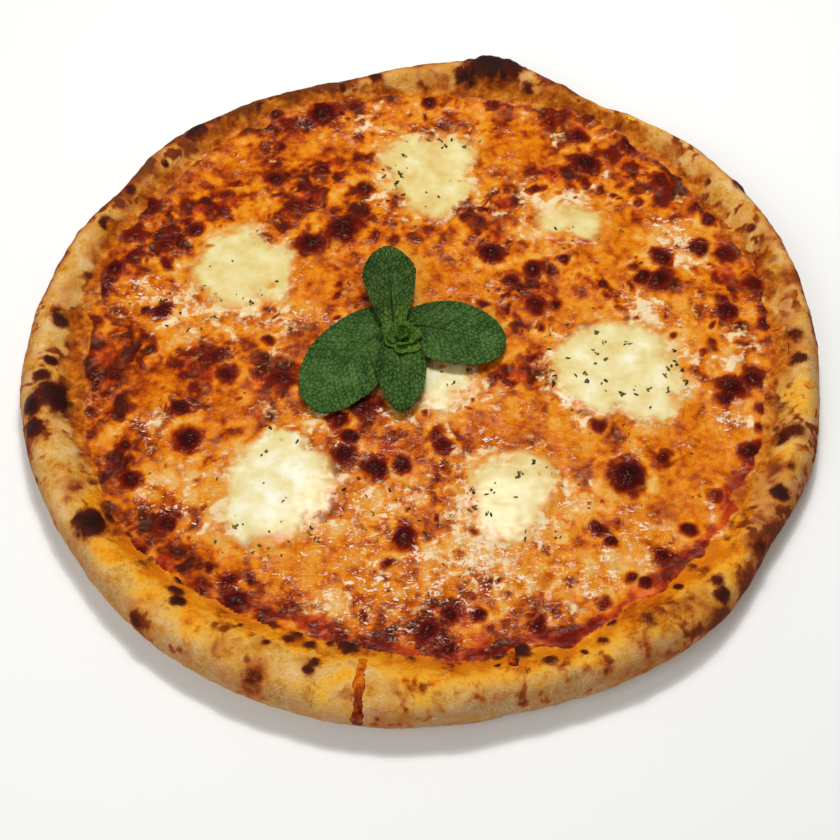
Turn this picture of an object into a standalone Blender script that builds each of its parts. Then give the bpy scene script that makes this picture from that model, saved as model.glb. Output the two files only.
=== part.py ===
"""A baked margherita pizza, 32 cm across, with a mint sprig on top.

The dough is one piece: a thin flat base with a raised, unevenly puffed rim. A layer of sauce
and melted cheese lies in it, seven soft pools of mozzarella lie on that layer, and a sprig of
mint, four leaves and a heart of young ones on top of their feet, lies near the middle.

The origin is at the middle of the underside, +Z is up, and -Y is the front. Every number
below is in millimetres or degrees unless its name says otherwise. Directions are measured
from +X, turning towards +Y.
"""

import math

import bmesh
import bpy
from mathutils import Matrix, Vector

METRES_PER_MM = 0.001
GAP = 0.35  # space kept between two pieces that touch

# Dough: driving dimensions
OUTER_RADIUS = 157.5  # mean radius of the rim's widest line
INNER_RADIUS = 138.0  # mean radius at which the cheese meets the rim
INNER_SHIFT = 6.0  # the rim is this much broader in front, and narrower behind, than its mean
RIM_HEIGHT = 17.5
BASE_THICKNESS = 4.0
SEGMENTS_AROUND = 108

# Swells of the rim: direction, spread either side, and how far it stands out (minus: a dent)
OUTLINE_SWELLS = (
    (32, 16, 2.6),
    (60, 6, -3.4),
    (78, 9, 4.4),
    (104, 9, -3.8),
    (122, 14, -2.2),
    (148, 7, -3.8),
    (185, 18, 2.0),
    (232, 14, 1.6),
    (258, 9, 1.4),
    (284, 10, -2.8),
    (310, 6, 1.0),
    (327, 9, -3.2),
    (352, 10, -1.4),
)
HEIGHT_SWELLS = (
    (20, 12, 1.2),
    (78, 10, 2.6),
    (108, 10, -1.8),
    (135, 10, 0.8),
    (172, 14, -1.2),
    (205, 12, 1.0),
    (240, 16, 1.8),
    (272, 14, 3.0),
    (303, 12, 2.6),
    (335, 10, -0.8),
)
INNER_SWELLS = (
    (14, 8, 4.5),
    (50, 16, 4.0),
    (90, 8, -3.0),
    (118, 14, 3.0),
    (218, 6, 2.5),
    (254, 16, -4.0),
    (278, 5, 3.0),
    (294, 5, 4.0),
    (323, 8, 2.5),
)

# Rim section: how far a ring stands in from the outline, and its height, as shares of the
# rim's width and height. It runs from the underside out, up, over the crest and down inside.
CREST_SHARE = 0.42
OUTER_SECTION = (
    (0.42, 0.00),
    (0.20, 0.07),
    (0.05, 0.25),
    (0.00, 0.48),
    (0.06, 0.74),
    (0.20, 0.92),
    (CREST_SHARE, 1.00),
    (0.64, 0.93),
    (0.84, 0.74),
)
# Foot of the inner slope: distance in from where the cheese meets the rim, and height
SLOPE_FOOT = ((0.5, 9.6), (5.0, 6.0), (9.5, BASE_THICKNESS))

# Sauce and cheese
TOPPING_HEIGHT = 8.3  # mean height of its top above the table
TOPPING_EDGE_LIFT = 1.8  # how much it climbs where it meets the rim
TOPPING_EDGE_BAND = 16.0  # width of the band that climbs
TOPPING_RINGS = (0.18, 0.36, 0.54, 0.70, 0.83, 0.93)  # shares of its radius
WAVE_HEIGHT, WAVE_ACROSS, WAVE_ALONG, WAVE_START = 0.35, 17.0, 21.0, 0.6  # broad waves of its top
RIPPLE_HEIGHT, RIPPLE_LENGTH = 0.2, 12.0  # and finer slanting ones

# Mozzarella pools: middle x and y, then how far the edge lies from it in each of eight
# directions, 45 degrees apart, beginning at +X
POOL_THICKNESS = 2.3
POOL_EDGE_THICKNESS = 0.6
POOL_SEGMENTS = 24
POOL_UNDER_RINGS = (0.5, 0.9)  # shares of its reach
POOL_DOME_RINGS = (0.93, 0.75, 0.4)
POOLS = {
    "mozzarella_back": ((5, 92), (16, 29, 26, 29, 23, 19, 24, 21)),
    "mozzarella_left": ((-74, 42), (22, 19, 23, 22, 22, 22, 23, 22)),
    "mozzarella_back_right": ((63, 69), (17, 11, 10, 12, 19, 14, 10, 17)),
    "mozzarella_right": ((76, -10), (26, 29, 26, 26, 25, 23, 20, 31)),
    "mozzarella_centre": ((9, -15), (15, 12, 12, 14, 14, 14, 13, 11)),
    "mozzarella_front": ((34, -66), (18, 21, 20, 18, 17, 18, 20, 15)),
    "mozzarella_front_left": ((-54, -62), (23, 21, 26, 22, 20, 29, 26, 21)),
}

# Mint sprig: the heart, then the leaves
HEART_X, HEART_Y = -7.3, 1.6
HEART_FOOT = 16.0
HEART_TOP = 21.0
HEART_RADIUS = 7.4
HEART_SEGMENTS, HEART_LEVELS = 16, 6
HEART_FULLNESS = 0.6  # below 1 makes the bud fuller than a ball
HEART_LEAVES = ((4, 40, 0.12), (6, 0, 0.06))  # ruffles: how many round, turned by, share of radius
LEAF_THICKNESS = 1.0
TIP_SHARE = 0.985  # share of its length at which a leaf's tip is cut blunt
LEAF_ROWS, LEAF_COLUMNS = 14, 6
# Each leaf: where its foot is, the heading of its tip, its length and width, where along it it is
# widest, how full its foot half is, the width of its very foot as a share, how blunt its tip is (2
# is an ellipse), height of its foot, arch of its middle, height of its tip, how far its two sides
# bend down, and how far its midrib bows to the left
LEAF_KEYS = (
    "x", "y", "heading", "length", "width", "widest", "full", "stalk", "blunt", "foot", "arch",
    "tip", "bend", "bow",
)
LEAVES = {
    "mint_leaf_left": (-10.7, 12.9, 233, 52.8, 32.6, 0.5, 2.0, 0.6, 2.0, 11.7, 0.9, 10.9, 0.8, -2.0),
    "mint_leaf_right": (-8, 10, -13.9, 42.7, 30, 0.5, 2.0, 0.15, 2.0, 12.9, 1.6, 11.9, 0.9, 0.6),
    "mint_leaf_back": (-11, 8, 95.2, 38.2, 21.6, 0.62, 1.25, 0.38, 1.6, 15.0, 0.8, 18.4, -1.0, 0.0),
    "mint_leaf_front": (-9.3, 4.6, 273.6, 36.4, 19.4, 0.5, 1.7, 0.25, 1.7, 14.6, 1.2, 12.6, 0.5, 0.5),
}


# ---------------------------------------------------------------- helpers


def remove_everything():
    for obj in list(bpy.data.objects):
        bpy.data.objects.remove(obj, do_unlink=True)


def principled(name, colour, roughness):
    """A non-metallic material of one plain colour."""
    material = bpy.data.materials.new(name)
    material.use_nodes = True
    shader = material.node_tree.nodes["Principled BSDF"]
    shader.inputs["Base Color"].default_value = (*colour, 1.0)
    shader.inputs["Roughness"].default_value = roughness
    shader.inputs["Metallic"].default_value = 0.0
    return material


def add_object(name, mesh_build, material):
    """An object named name, with the faces of mesh_build, in millimetres, pointing outwards."""
    bmesh.ops.remove_doubles(mesh_build, verts=mesh_build.verts, dist=0.001)
    bmesh.ops.recalc_face_normals(mesh_build, faces=mesh_build.faces)
    bmesh.ops.transform(mesh_build, matrix=Matrix.Scale(METRES_PER_MM, 4), verts=mesh_build.verts)
    mesh = bpy.data.meshes.new(name)
    mesh_build.to_mesh(mesh)
    mesh_build.free()
    mesh.materials.append(material)
    mesh.shade_smooth()
    mesh.set_sharp_from_angle(angle=math.radians(50))
    obj = bpy.data.objects.new(name, mesh)
    bpy.context.scene.collection.objects.link(obj)
    return obj


def lofted(name, first_pole, rings, last_pole, material):
    """A closed skin over rings of equally many points, capped by a fan at each pole."""
    build = bmesh.new()
    loops = [[build.verts.new(point) for point in ring] for ring in rings]
    count = len(loops[0])
    for lower, upper in zip(loops, loops[1:]):
        for i in range(count):
            j = (i + 1) % count
            build.faces.new((lower[i], lower[j], upper[j], upper[i]))
    for pole, loop in ((first_pole, loops[0]), (last_pole, loops[-1])):
        tip = build.verts.new(pole)
        for i in range(count):
            build.faces.new((tip, loop[i], loop[(i + 1) % count]))
    return add_object(name, build, material)


def turned_by(direction, target):
    """Degrees from target to direction, from -180 to 180."""
    return (direction - target + 180) % 360 - 180


def swell(direction, swells):
    """The sum of smooth bumps, each (direction, spread, size), at this direction."""
    return sum(
        size * math.exp(-((turned_by(direction, middle) / spread) ** 2))
        for middle, spread, size in swells
    )


# ---------------------------------------------------------------- dough


def outline_radius(direction):
    return OUTER_RADIUS + swell(direction, OUTLINE_SWELLS)


def inner_radius(direction):
    shift = INNER_SHIFT * math.sin(math.radians(direction))
    return INNER_RADIUS + shift + swell(direction, INNER_SWELLS)


def rim_height(direction):
    return RIM_HEIGHT + swell(direction, HEIGHT_SWELLS)


def directions(count):
    return [360.0 * i / count for i in range(count)]


def outline_middle():
    """The middle of the outline's box, so that the box can be centred on the origin."""
    reach = [(outline_radius(a), math.radians(a)) for a in directions(SEGMENTS_AROUND)]
    across = [r * math.cos(a) for r, a in reach]
    along = [r * math.sin(a) for r, a in reach]
    return (min(across) + max(across)) / 2, (min(along) + max(along)) / 2


SHIFT_X, SHIFT_Y = outline_middle()


def at(direction, radius, height):
    """The point at this direction and radius from the dough's own middle."""
    angle = math.radians(direction)
    x = radius * math.cos(angle) - SHIFT_X
    y = radius * math.sin(angle) - SHIFT_Y
    return Vector((x, y, height))


def ring(radius_of, height_of):
    return [at(a, radius_of(a), height_of(a)) for a in directions(SEGMENTS_AROUND)]


def make_crust(material):
    rings = []
    for inset, share in OUTER_SECTION:
        rings.append(
            ring(
                lambda a, inset=inset: outline_radius(a)
                - inset * (outline_radius(a) - inner_radius(a)),
                lambda a, share=share: share * rim_height(a),
            )
        )
    for inset, height in SLOPE_FOOT:
        rings.append(
            ring(lambda a, inset=inset: inner_radius(a) - inset, lambda a, height=height: height)
        )
    return lofted("crust", at(0, 0, 0), rings, at(0, 0, BASE_THICKNESS), material)


# ---------------------------------------------------------------- sauce and cheese


def topping_top(point):
    """Height of the sauce and cheese at a point: low waves, and a climb at the rim."""
    x, y = point.x + SHIFT_X, point.y + SHIFT_Y
    waves = WAVE_HEIGHT * math.sin(x / WAVE_ACROSS + WAVE_START) * math.cos(y / WAVE_ALONG)
    waves += RIPPLE_HEIGHT * math.sin((x - y) / RIPPLE_LENGTH)
    to_edge = inner_radius(math.degrees(math.atan2(y, x))) - math.hypot(x, y)
    climb = max(0.0, 1 - to_edge / TOPPING_EDGE_BAND) ** 2
    return TOPPING_HEIGHT + waves + TOPPING_EDGE_LIFT * climb


def make_topping(material):
    """It fills the dish of the dough, a gap clear of its floor and its inner slope."""
    floor_height = BASE_THICKNESS + GAP
    foot_inset, edge_inset = SLOPE_FOOT[2][0] + 2 * GAP, SLOPE_FOOT[0][0] + 4 * GAP
    middle_inset, middle_height = SLOPE_FOOT[1][0] + 3 * GAP, SLOPE_FOOT[1][1] + GAP
    edge = ring(lambda a: inner_radius(a) - edge_inset, lambda a: 0)
    for point in edge:
        point.z = topping_top(point)
    rings = [
        ring(lambda a: inner_radius(a) - foot_inset, lambda a: floor_height),
        ring(lambda a: inner_radius(a) - middle_inset, lambda a: middle_height),
        edge,
    ]
    for share in reversed(TOPPING_RINGS):
        inside = ring(lambda a, share=share: share * inner_radius(a), lambda a: 0)
        for point in inside:
            point.z = topping_top(point)
        rings.append(inside)
    top = at(0, 0, 0)
    top.z = topping_top(top)
    return lofted("sauce_and_cheese", at(0, 0, floor_height), rings, top, material)


def pool_reach(direction, reaches):
    """Distance to a pool's edge: the reaches blended smoothly from one direction to the next."""
    step = 360 / len(reaches)
    position = (direction % 360) / step
    i = int(position) % len(reaches)
    blend = 0.5 - 0.5 * math.cos(math.pi * (position - int(position)))
    return reaches[i] * (1 - blend) + reaches[(i + 1) % len(reaches)] * blend


def make_pool(name, middle, reaches, material):
    """A low dome of mozzarella that follows the layer it lies on."""

    def pool_ring(share, thickness):
        points = []
        for a in directions(POOL_SEGMENTS):
            reach = share * pool_reach(a, reaches)
            x = middle[0] + reach * math.cos(math.radians(a))
            y = middle[1] + reach * math.sin(math.radians(a))
            point = Vector((x, y, 0))
            point.z = topping_top(point) + GAP + thickness
            points.append(point)
        return points

    rings = [pool_ring(share, 0) for share in POOL_UNDER_RINGS]
    rings.append(pool_ring(1.0, POOL_EDGE_THICKNESS))
    for share in POOL_DOME_RINGS:
        dome = (POOL_THICKNESS - POOL_EDGE_THICKNESS) * math.sqrt(1 - share**2)
        rings.append(pool_ring(share, POOL_EDGE_THICKNESS + dome))
    under = Vector((*middle, 0))
    under.z = topping_top(under) + GAP
    over = Vector((*middle, under.z + POOL_THICKNESS))
    return lofted(name, under, rings, over, material)


# ---------------------------------------------------------------- mint sprig


def leaf_half_width(share, leaf):
    """A mint leaf's half width along its length, as a share of its widest: a rounded foot that
    broadens up to the middle of the blade, then a round tip."""
    if share >= leaf["widest"]:
        late = (share - leaf["widest"]) / (1 - leaf["widest"])
        return (1 - late ** leaf["blunt"]) ** (1 / leaf["blunt"])
    grown = (1 - (1 - share / leaf["widest"]) ** leaf["full"]) ** (1 / leaf["full"])
    return leaf["stalk"] + (1 - leaf["stalk"]) * grown


def make_leaf(name, leaf, material):
    """A thin curved plate. u runs from foot to tip, and v from side to side."""

    def middle_of(u, v):
        half = 0.5 * leaf["width"] * leaf_half_width(u, leaf)
        rise = math.sin(math.pi * u)
        height = leaf["foot"] + (leaf["tip"] - leaf["foot"]) * u * u
        height += (leaf["arch"] - leaf["bend"] * v * v) * rise
        return Vector((u * leaf["length"], v * half + leaf["bow"] * rise, height))

    build = bmesh.new()
    sides = []
    for offset in (0.5 * LEAF_THICKNESS, -0.5 * LEAF_THICKNESS):
        grid = []
        for i in range(LEAF_ROWS + 1):
            u = TIP_SHARE * (0.5 - 0.5 * math.cos(math.pi * i / LEAF_ROWS))
            row = []
            for j in range(LEAF_COLUMNS + 1):
                v = 2.0 * j / LEAF_COLUMNS - 1
                row.append(build.verts.new(middle_of(u, v) + Vector((0, 0, offset))))
            grid.append(row)
        for i in range(LEAF_ROWS):
            for j in range(LEAF_COLUMNS):
                build.faces.new((grid[i][j], grid[i + 1][j], grid[i + 1][j + 1], grid[i][j + 1]))
        edge = grid[0][:] + [row[-1] for row in grid[1:-1]]
        edge += grid[-1][::-1] + [row[0] for row in grid[-2:0:-1]]
        sides.append(edge)
    for i, _ in enumerate(sides[0]):
        j = (i + 1) % len(sides[0])
        build.faces.new((sides[0][i], sides[0][j], sides[1][j], sides[1][i]))
    turn = Matrix.Rotation(math.radians(leaf["heading"]), 4, "Z")
    place = Matrix.Translation((leaf["x"], leaf["y"], 0)) @ turn
    bmesh.ops.transform(build, matrix=place, verts=build.verts)
    return add_object(name, build, material)


def heart_ruffle(direction):
    """How far the tuft stands out in this direction, as a share of its mean radius."""
    return 1 + sum(
        size * math.cos(math.radians(count * direction + turn))
        for count, turn, size in HEART_LEAVES
    )


def make_heart(material):
    """The tight tuft of young leaves at the sprig's end, as one ruffled bud."""
    rings = []
    for level in range(1, HEART_LEVELS):
        share = level / HEART_LEVELS
        radius = HEART_RADIUS * math.sin(math.pi * share) ** HEART_FULLNESS
        height = HEART_FOOT + share * (HEART_TOP - HEART_FOOT)
        ring_points = []
        for a in directions(HEART_SEGMENTS):
            reach = radius * heart_ruffle(a)
            x = HEART_X + reach * math.cos(math.radians(a))
            y = HEART_Y + reach * math.sin(math.radians(a))
            ring_points.append(Vector((x, y, height)))
        rings.append(ring_points)
    foot = Vector((HEART_X, HEART_Y, HEART_FOOT))
    top = Vector((HEART_X, HEART_Y, HEART_TOP))
    return lofted("mint_heart", foot, rings, top, material)


# ---------------------------------------------------------------- the pizza


def main():
    remove_everything()
    baked_dough = principled("baked_dough", (0.62, 0.38, 0.15), 0.75)
    sauce_and_cheese = principled("sauce_and_cheese", (0.60, 0.16, 0.02), 0.35)
    mozzarella = principled("mozzarella", (0.86, 0.80, 0.48), 0.35)
    mint = principled("mint", (0.03, 0.12, 0.02), 0.5)
    make_crust(baked_dough)
    make_topping(sauce_and_cheese)
    for name, (middle, reaches) in POOLS.items():
        make_pool(name, middle, reaches, mozzarella)
    for name, numbers in LEAVES.items():
        make_leaf(name, dict(zip(LEAF_KEYS, numbers)), mint)
    make_heart(mint)


main()
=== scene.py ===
"""The looks of a baked margherita pizza with a mint sprig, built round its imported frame.

Every size and place below is in millimetres or degrees, but the studio's are in metres. The axes
are the frame's own: the origin is at the middle of the underside, +Z is up and -Y is the front.
Directions turn from +X towards +Y.
"""

import contextlib
import itertools
import math

import bpy
import numpy as np
from mathutils import Matrix, Vector
from mathutils.bvhtree import BVHTree


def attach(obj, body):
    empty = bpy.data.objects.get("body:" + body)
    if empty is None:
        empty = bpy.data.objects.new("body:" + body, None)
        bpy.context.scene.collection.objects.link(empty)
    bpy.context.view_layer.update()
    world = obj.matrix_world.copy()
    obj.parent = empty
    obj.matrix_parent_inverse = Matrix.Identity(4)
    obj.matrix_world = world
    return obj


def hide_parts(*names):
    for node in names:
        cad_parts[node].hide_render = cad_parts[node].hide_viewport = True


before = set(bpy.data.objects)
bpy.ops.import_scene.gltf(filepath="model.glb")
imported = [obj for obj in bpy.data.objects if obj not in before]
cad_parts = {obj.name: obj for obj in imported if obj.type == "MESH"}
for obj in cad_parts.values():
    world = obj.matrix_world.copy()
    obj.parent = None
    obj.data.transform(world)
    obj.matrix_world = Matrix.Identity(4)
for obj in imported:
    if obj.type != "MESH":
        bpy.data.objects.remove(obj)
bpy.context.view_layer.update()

MM = 0.001

# ---------------------------------------------------------------- sizes and places

ABOVE_ALL = 60.0  # a height above every piece, from which a search straight down starts

# Dough
RIM_STEP = 2  # extra cuts round the rim after two smooth subdivisions
DOUGH_LUMP = (24.0, 0.75)  # cell and height of its broad lumps
DOUGH_PUFF = (9.0, 0.38)
DOUGH_GRAIN = (2.6, 0.10)
# Puffed blisters on the rim: direction, distance in from the outline, radius, height
RIM_BLISTERS = (
    (191, 12, 8.0, 2.2), (188, 24, 6.0, 1.6), (176, 16, 5.0, 1.2), (214, 13, 6.5, 1.6),
    (79, 9, 9.0, 1.2), (66, 6, 5.0, 1.2), (233, 16, 5.0, 0.9), (250, 14, 7.0, 0.8), (283, 16, 8.0, 0.8),
    (303, 15, 10.0, 0.9), (327, 14, 7.0, 1.0), (345, 12, 6.0, 0.9), (32, 10, 8.0, 1.0),
    (130, 9, 6.0, 0.9), (155, 12, 8.0, 0.9),
)
RIM_BLISTERS_LOOSE = 90
FRINGE_BLISTERS = 110  # small toasted ones where the rim meets the sauce
RIM_SOFT_TOP, RIM_TOP_SPAN = 19.0, 2.2  # lumps above this height flatten off within this span
SLOPE_SAG = 2.0  # how far the rim's inner slope is let down, so that it runs gently into the sauce

# Parts of the rim, each its middle direction and how far it goes to either side
BACK_ARC = (122, 56)  # faced the fire: toasted right out to its edge
FRONT_ARC = (268, 60)  # oil has run over it
RED_EDGE = (292, 52)  # bare dark-red sauce shows along it
# Toasted spots on the rim, glazed orange to brown: x, y, radius, how much
RIM_TOAST = (
    (-70, -132, 6, 0.75), (-69, -126, 5, 0.6), (-45, -125, 5, 0.8), (-53, -130, 5, 0.7),
    (-37, -139, 5, 0.8), (-33, -133, 6, 0.7), (-58, -143, 9, 0.6), (-99, -122, 8, 0.6),
    (-63, -122, 4, 0.5), (-7, -146, 5, 0.6), (0, -148, 4, 0.6), (9, -149, 5, 0.5), (33, -142, 7, 0.7),
    (45, -136, 7, 0.6), (81, -118, 10, 0.9), (80, -123, 7, 0.8), (107, -108, 8, 0.8),
    (122, -90, 9, 0.8), (127, -75, 9, 0.75), (117, -97, 7, 0.6), (94, -127, 8, 0.4), (63, -135, 8, 0.4),
    (134, -60, 8, 0.7), (140, -40, 8, 0.6), (150, -3, 9, 0.5), (147, 22, 7, 0.5), (120, 97, 8, 0.4),
    (-76, 129, 13, 0.8), (-96, 112, 10, 0.7), (-112, 92, 9, 0.5), (-40, 143, 12, 0.5),
    (4, 147, 10, 0.5), (28, 148, 17, 0.9), (57, 140, 10, 0.6), (-131, 46, 9, 0.5), (-128, 25, 8, 0.5),
    (-135, -16, 13, 0.8), (-147, -44, 9, 0.7), (-128, -68, 9, 0.5), (-116, -82, 9, 0.7),
    (-60, 136, 14, 0.7), (-84, 122, 12, 0.7), (-104, 103, 12, 0.6), (-124, 72, 13, 0.5),
    (150, 30, 14, 0.6), (152, 10, 12, 0.5), (146, 52, 12, 0.5), (104, -118, 14, 0.7),
    (92, -116, 11, 0.8), (116, -104, 12, 0.7), (72, -130, 9, 0.6), (86, -124, 8, 0.8),
    (126, -80, 9, 0.7), (132, -72, 8, 0.6),
)
# Burnt spots on the rim: x, y, radius, how dark
RIM_CHAR = (
    (31, 152, 11.0, 1.0), (20, 146, 5.5, 0.9), (40, 150, 6.0, 0.8), (-99, 114, 4.2, 0.9),
    (65, 144, 2.4, 1.0), (135, 83, 4.0, 0.9), (-144, 12, 4.2, 0.9), (-145, -10, 2.6, 0.9),
    (-147, -18, 3.4, 0.7), (-140, -27, 7.2, 1.0), (-132, -19, 4.6, 0.9), (-149, -32, 4.2, 0.9),
    (-147, -42, 4.6, 0.9), (-120, -84, 5.2, 1.0), (-115, -78, 2.6, 0.8), (-110, -76, 2.0, 0.7),
    (-85, -115, 2.4, 1.0), (-86, -103, 2.3, 0.9), (-63, -122, 1.1, 0.8), (-43, -124, 2.8, 0.7),
    (-46, -127, 2.4, 0.7), (-53, -130, 1.6, 0.8), (-36, -138, 2.2, 0.8), (-38, -141, 2.2, 0.8),
    (-100, -121, 3.8, 0.6), (-57, -143, 4.0, 0.45), (45, -136, 3.0, 0.6), (33, -136, 2.0, 0.7),
    (27, -138, 1.2, 0.8), (80, -122, 3.4, 0.5), (107, -111, 3.4, 0.8), (106, -106, 2.6, 0.6),
    (123, -91, 4.2, 0.6), (133, -69, 3.4, 0.9), (141, -42, 4.0, 0.6), (138, -58, 2.0, 0.5),
    (133, -33, 5.0, 0.8), (137, -24, 3.6, 0.7), (129, -46, 3.4, 0.7), (148, -8, 3.0, 0.6),
    (130, 41, 2.6, 0.6), (137, 30, 2.4, 0.6), (116, 84, 3.0, 0.7), (97, 104, 4.2, 0.6),
    (78, 118, 5.6, 0.7), (60, 127, 4.0, 0.6), (-62, 131, 6.0, 0.7), (-78, 121, 4.6, 0.6),
    (-52, 137, 3.6, 0.5), (-20, 143, 3.4, 0.6), (-124, 79, 3.0, 0.7), (-138, 20, 3.0, 0.5),
)

# Sauce and cheese
CHEESE_STEP, CHEESE_STEP_QUICK = 0.85, 1.6  # spacing of its grid
SHEET_HALF = 158  # half the breadth of the grid it is cut from
SHEET_FLOOR = 4.3  # height of its flat underside, in the dish of the dough
EDGE_LEVEL = 10.0  # how high sauce and cheese stand against the rim
CHEESE_REACH = 10.0  # how far its sheet runs on past the dish, at last under the rim's surface
# How far the sauce shows, on average, up the rim's inner slope: behind and at the sides, and in front
LAP_BACK, LAP_FRONT = 0.6, 2.2
# Dark glossy bubbles in the cheese: x, y, radius, how dark
BUBBLES = (
    (-64, 91, 4.4, 0.95), (-117, 74, 4.9, 0.9), (-44, 130, 6.8, 0.95), (-77, 126, 6.0, 0.7),
    (-66, 129, 3.0, 0.85), (-29, 140, 4.0, 0.8), (-44, 96, 3.6, 0.8), (-52, 87, 3.6, 0.7),
    (-25, 86, 3.8, 0.8), (-55, 75, 5.0, 0.7), (-33, 63, 8.6, 0.9), (-46, 55, 6.0, 0.95),
    (-106, 62, 2.4, 0.7), (-95, 63, 3.6, 0.9), (-107, 54, 3.6, 0.8), (-120, 59, 5.2, 0.6),
    (-127, 41, 4.0, 0.9), (-120, 47, 4.4, 0.7), (-105, 19, 4.6, 0.8), (-111, 19, 3.4, 0.7),
    (-132, 12, 4.0, 0.6), (-108, 0, 2.6, 0.8), (-121, -13, 3.0, 0.8), (-81, -3, 5.4, 0.7),
    (-61, 5, 2.6, 0.8), (-76, -12, 4.2, 0.8), (-55, -14, 5.0, 0.8), (-93, -27, 4.2, 0.95),
    (-23, -27, 5.6, 0.9), (-32, -33, 4.4, 0.85), (3, 137, 4.0, 0.85), (31, 136, 3.8, 0.6),
    (62, 130, 8.0, 0.5), (56, 124, 4.6, 0.6), (74, 129, 4.4, 0.85), (69, 116, 4.4, 0.8),
    (71, 101, 6.4, 0.95), (90, 111, 4.6, 0.85), (102, 109, 3.0, 0.7), (81, 106, 5.0, 0.6),
    (92, 99, 3.6, 0.6), (103, 90, 5.8, 0.7), (118, 75, 3.6, 0.75), (122, 69, 4.0, 0.8),
    (134, 66, 4.2, 0.7), (29, 50, 5.2, 1.0), (46, 42, 4.0, 0.9), (37, 36, 2.8, 0.9), (59, 47, 2.8, 0.8),
    (43, 56, 2.4, 0.5), (27, 74, 2.4, 0.7), (75, 34, 3.2, 0.85), (100, 49, 4.8, 0.85),
    (98, 37, 5.0, 0.95), (91, 38, 4.0, 0.9), (88, 43, 2.8, 0.6), (116, 53, 5.0, 0.85),
    (126, 50, 5.0, 0.75), (124, 20, 5.0, 0.9), (138, 13, 3.4, 0.85), (139, 20, 3.0, 0.8),
    (136, 33, 5.6, 0.7), (46, 23, 5.0, 0.75), (55, 24, 2.2, 0.9), (26, 24, 2.6, 0.7),
    (122, -17, 5.6, 0.9), (130, -14, 4.6, 0.85), (119, -23, 3.8, 0.8), (134, -28, 4.2, 0.8),
    (-89, -42, 6.0, 1.0), (-113, -45, 3.6, 0.85), (-109, -61, 4.4, 0.9), (-94, -79, 4.2, 0.85),
    (-101, -91, 3.2, 0.75), (-79, -103, 4.2, 0.55), (-76, -97, 3.2, 0.7), (-69, -103, 3.4, 0.8),
    (-66, -111, 4.2, 0.95), (-29, -49, 4.6, 0.95), (-27, -41, 3.8, 0.95), (-17, -55, 5.0, 0.95),
    (-7, -53, 3.8, 0.85), (-6, -84, 5.2, 0.85), (78, -58, 7.6, 1.0), (92, -49, 3.6, 0.7),
    (66, -81, 3.4, 0.85), (70, -86, 2.6, 0.8), (99, -81, 3.2, 0.85), (89, -92, 3.2, 0.85),
    (126, -47, 5.0, 0.95), (9, -44, 3.6, 0.8), (6, -39, 3.2, 0.7), (68, -35, 3.4, 0.7),
    (42, -120, 3.8, 0.75), (21, -116, 3.2, 0.9), (10, -115, 3.4, 0.9), (3, -123, 5.4, 0.85),
    (10, -129, 3.0, 0.9), (82, -103, 3.4, 0.8), (77, -101, 3.0, 0.75), (-48, -66, 2.6, 0.5),
    (54, -101, 2.6, 0.5), (110, -66, 3.0, 0.5),
)
BUBBLES_LOOSE = 420
WRINKLED = (0, -92, 85)  # x, y, radius of the part whose skin is wrinkled nearly everywhere
# Broad patches, x, y, radius: oily orange, pale melted cheese, and bare dark-red sauce
ORANGE_PATCHES = (
    (-44, 36, 15), (-52, 110, 12), (40, 108, 15), (75, 62, 16), (-104, 92, 14), (30, -35, 15),
    (16, 30, 16), (112, -52, 17), (60, 20, 12), (-72, -30, 12), (-40, -95, 13), (100, -70, 12),
    (55, -45, 12), (-100, -20, 12), (-10, 105, 8), (-80, 95, 14), (100, -42, 14),
)
PALE_PATCHES = (
    (-20, 118, 10), (105, 65, 12), (90, 22, 12), (110, 10, 14), (60, 78, 14), (104, 0, 13),
    (-115, 28, 12), (-90, -62, 14), (-105, -35, 9), (-35, -30, 12), (-95, 10, 18), (-15, -70, 12),
    (0, -100, 16), (25, -95, 18), (60, -100, 16), (85, -85, 14), (112, -78, 12), (-30, -112, 14),
    (25, -50, 10), (120, -35, 12), (-52, 20, 10), (104, -14, 11), (42, -84, 16), (22, -86, 12),
    (122, 2, 12), (112, 50, 9), (58, -68, 10), (20, -82, 14), (-30, -82, 10), (-80, -78, 13),
    (-18, -98, 15),
)
RED_PATCHES = (
    (-128, 50, 12), (-132, 25, 12), (-132, -10, 12), (-120, -30, 10), (-118, -68, 10), (-105, -84, 10),
    (-55, -110, 12), (-20, -125, 12), (20, -128, 10), (90, -98, 9), (122, -68, 9), (-95, 78, 12),
    (60, 126, 13), (85, 108, 14), (108, 82, 12), (20, -105, 8), (-64, 104, 10), (5, 66, 8),
    (40, -10, 10), (-110, 0, 10), (-40, -55, 9), (-60, 66, 8), (-110, 62, 20), (-122, 0, 16),
    (-88, 84, 16), (-88, -8, 14), (-62, 116, 14), (-48, 80, 12), (-60, -12, 12), (70, 112, 18),
    (-90, -95, 10), (-112, -52, 12), (10, -118, 14), (84, 88, 9), (45, 38, 14), (30, 55, 12),
    (55, 95, 12), (35, 80, 9), (-10, -48, 12), (40, 20, 10), (68, 95, 10), (40, 2, 12), (-126, 36, 13),
    (100, 38, 10), (20, 74, 9), (-62, 66, 10), (-44, 98, 13), (124, 38, 10),
)

# Sauce that ran over the rim: breadth, then places along its run
DRIP_ROWS, DRIP_COLUMNS = 60, 10  # faces along each and across it
DRIPS = (
    (5.0, (-19, -133, 15), (-20, -142, 17), (-20, -150, 13), (-21, -155, 7)),
    (3.6, (137, 10, 15), (141, 11, 17), (143, 7, 17), (143, 0, 16), (142, -5, 16)),
    (4.0, (32, -128, 12), (32, -134, 15), (33, -141, 17)),
)

# Mozzarella
POOL_STEP = 0.7  # spacing of each pool's grid
POOL_SWELL = 1.1  # height of its dome
POOL_FADE = 12.0  # width of the band in which a pool thins out into the cheese round it
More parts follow.
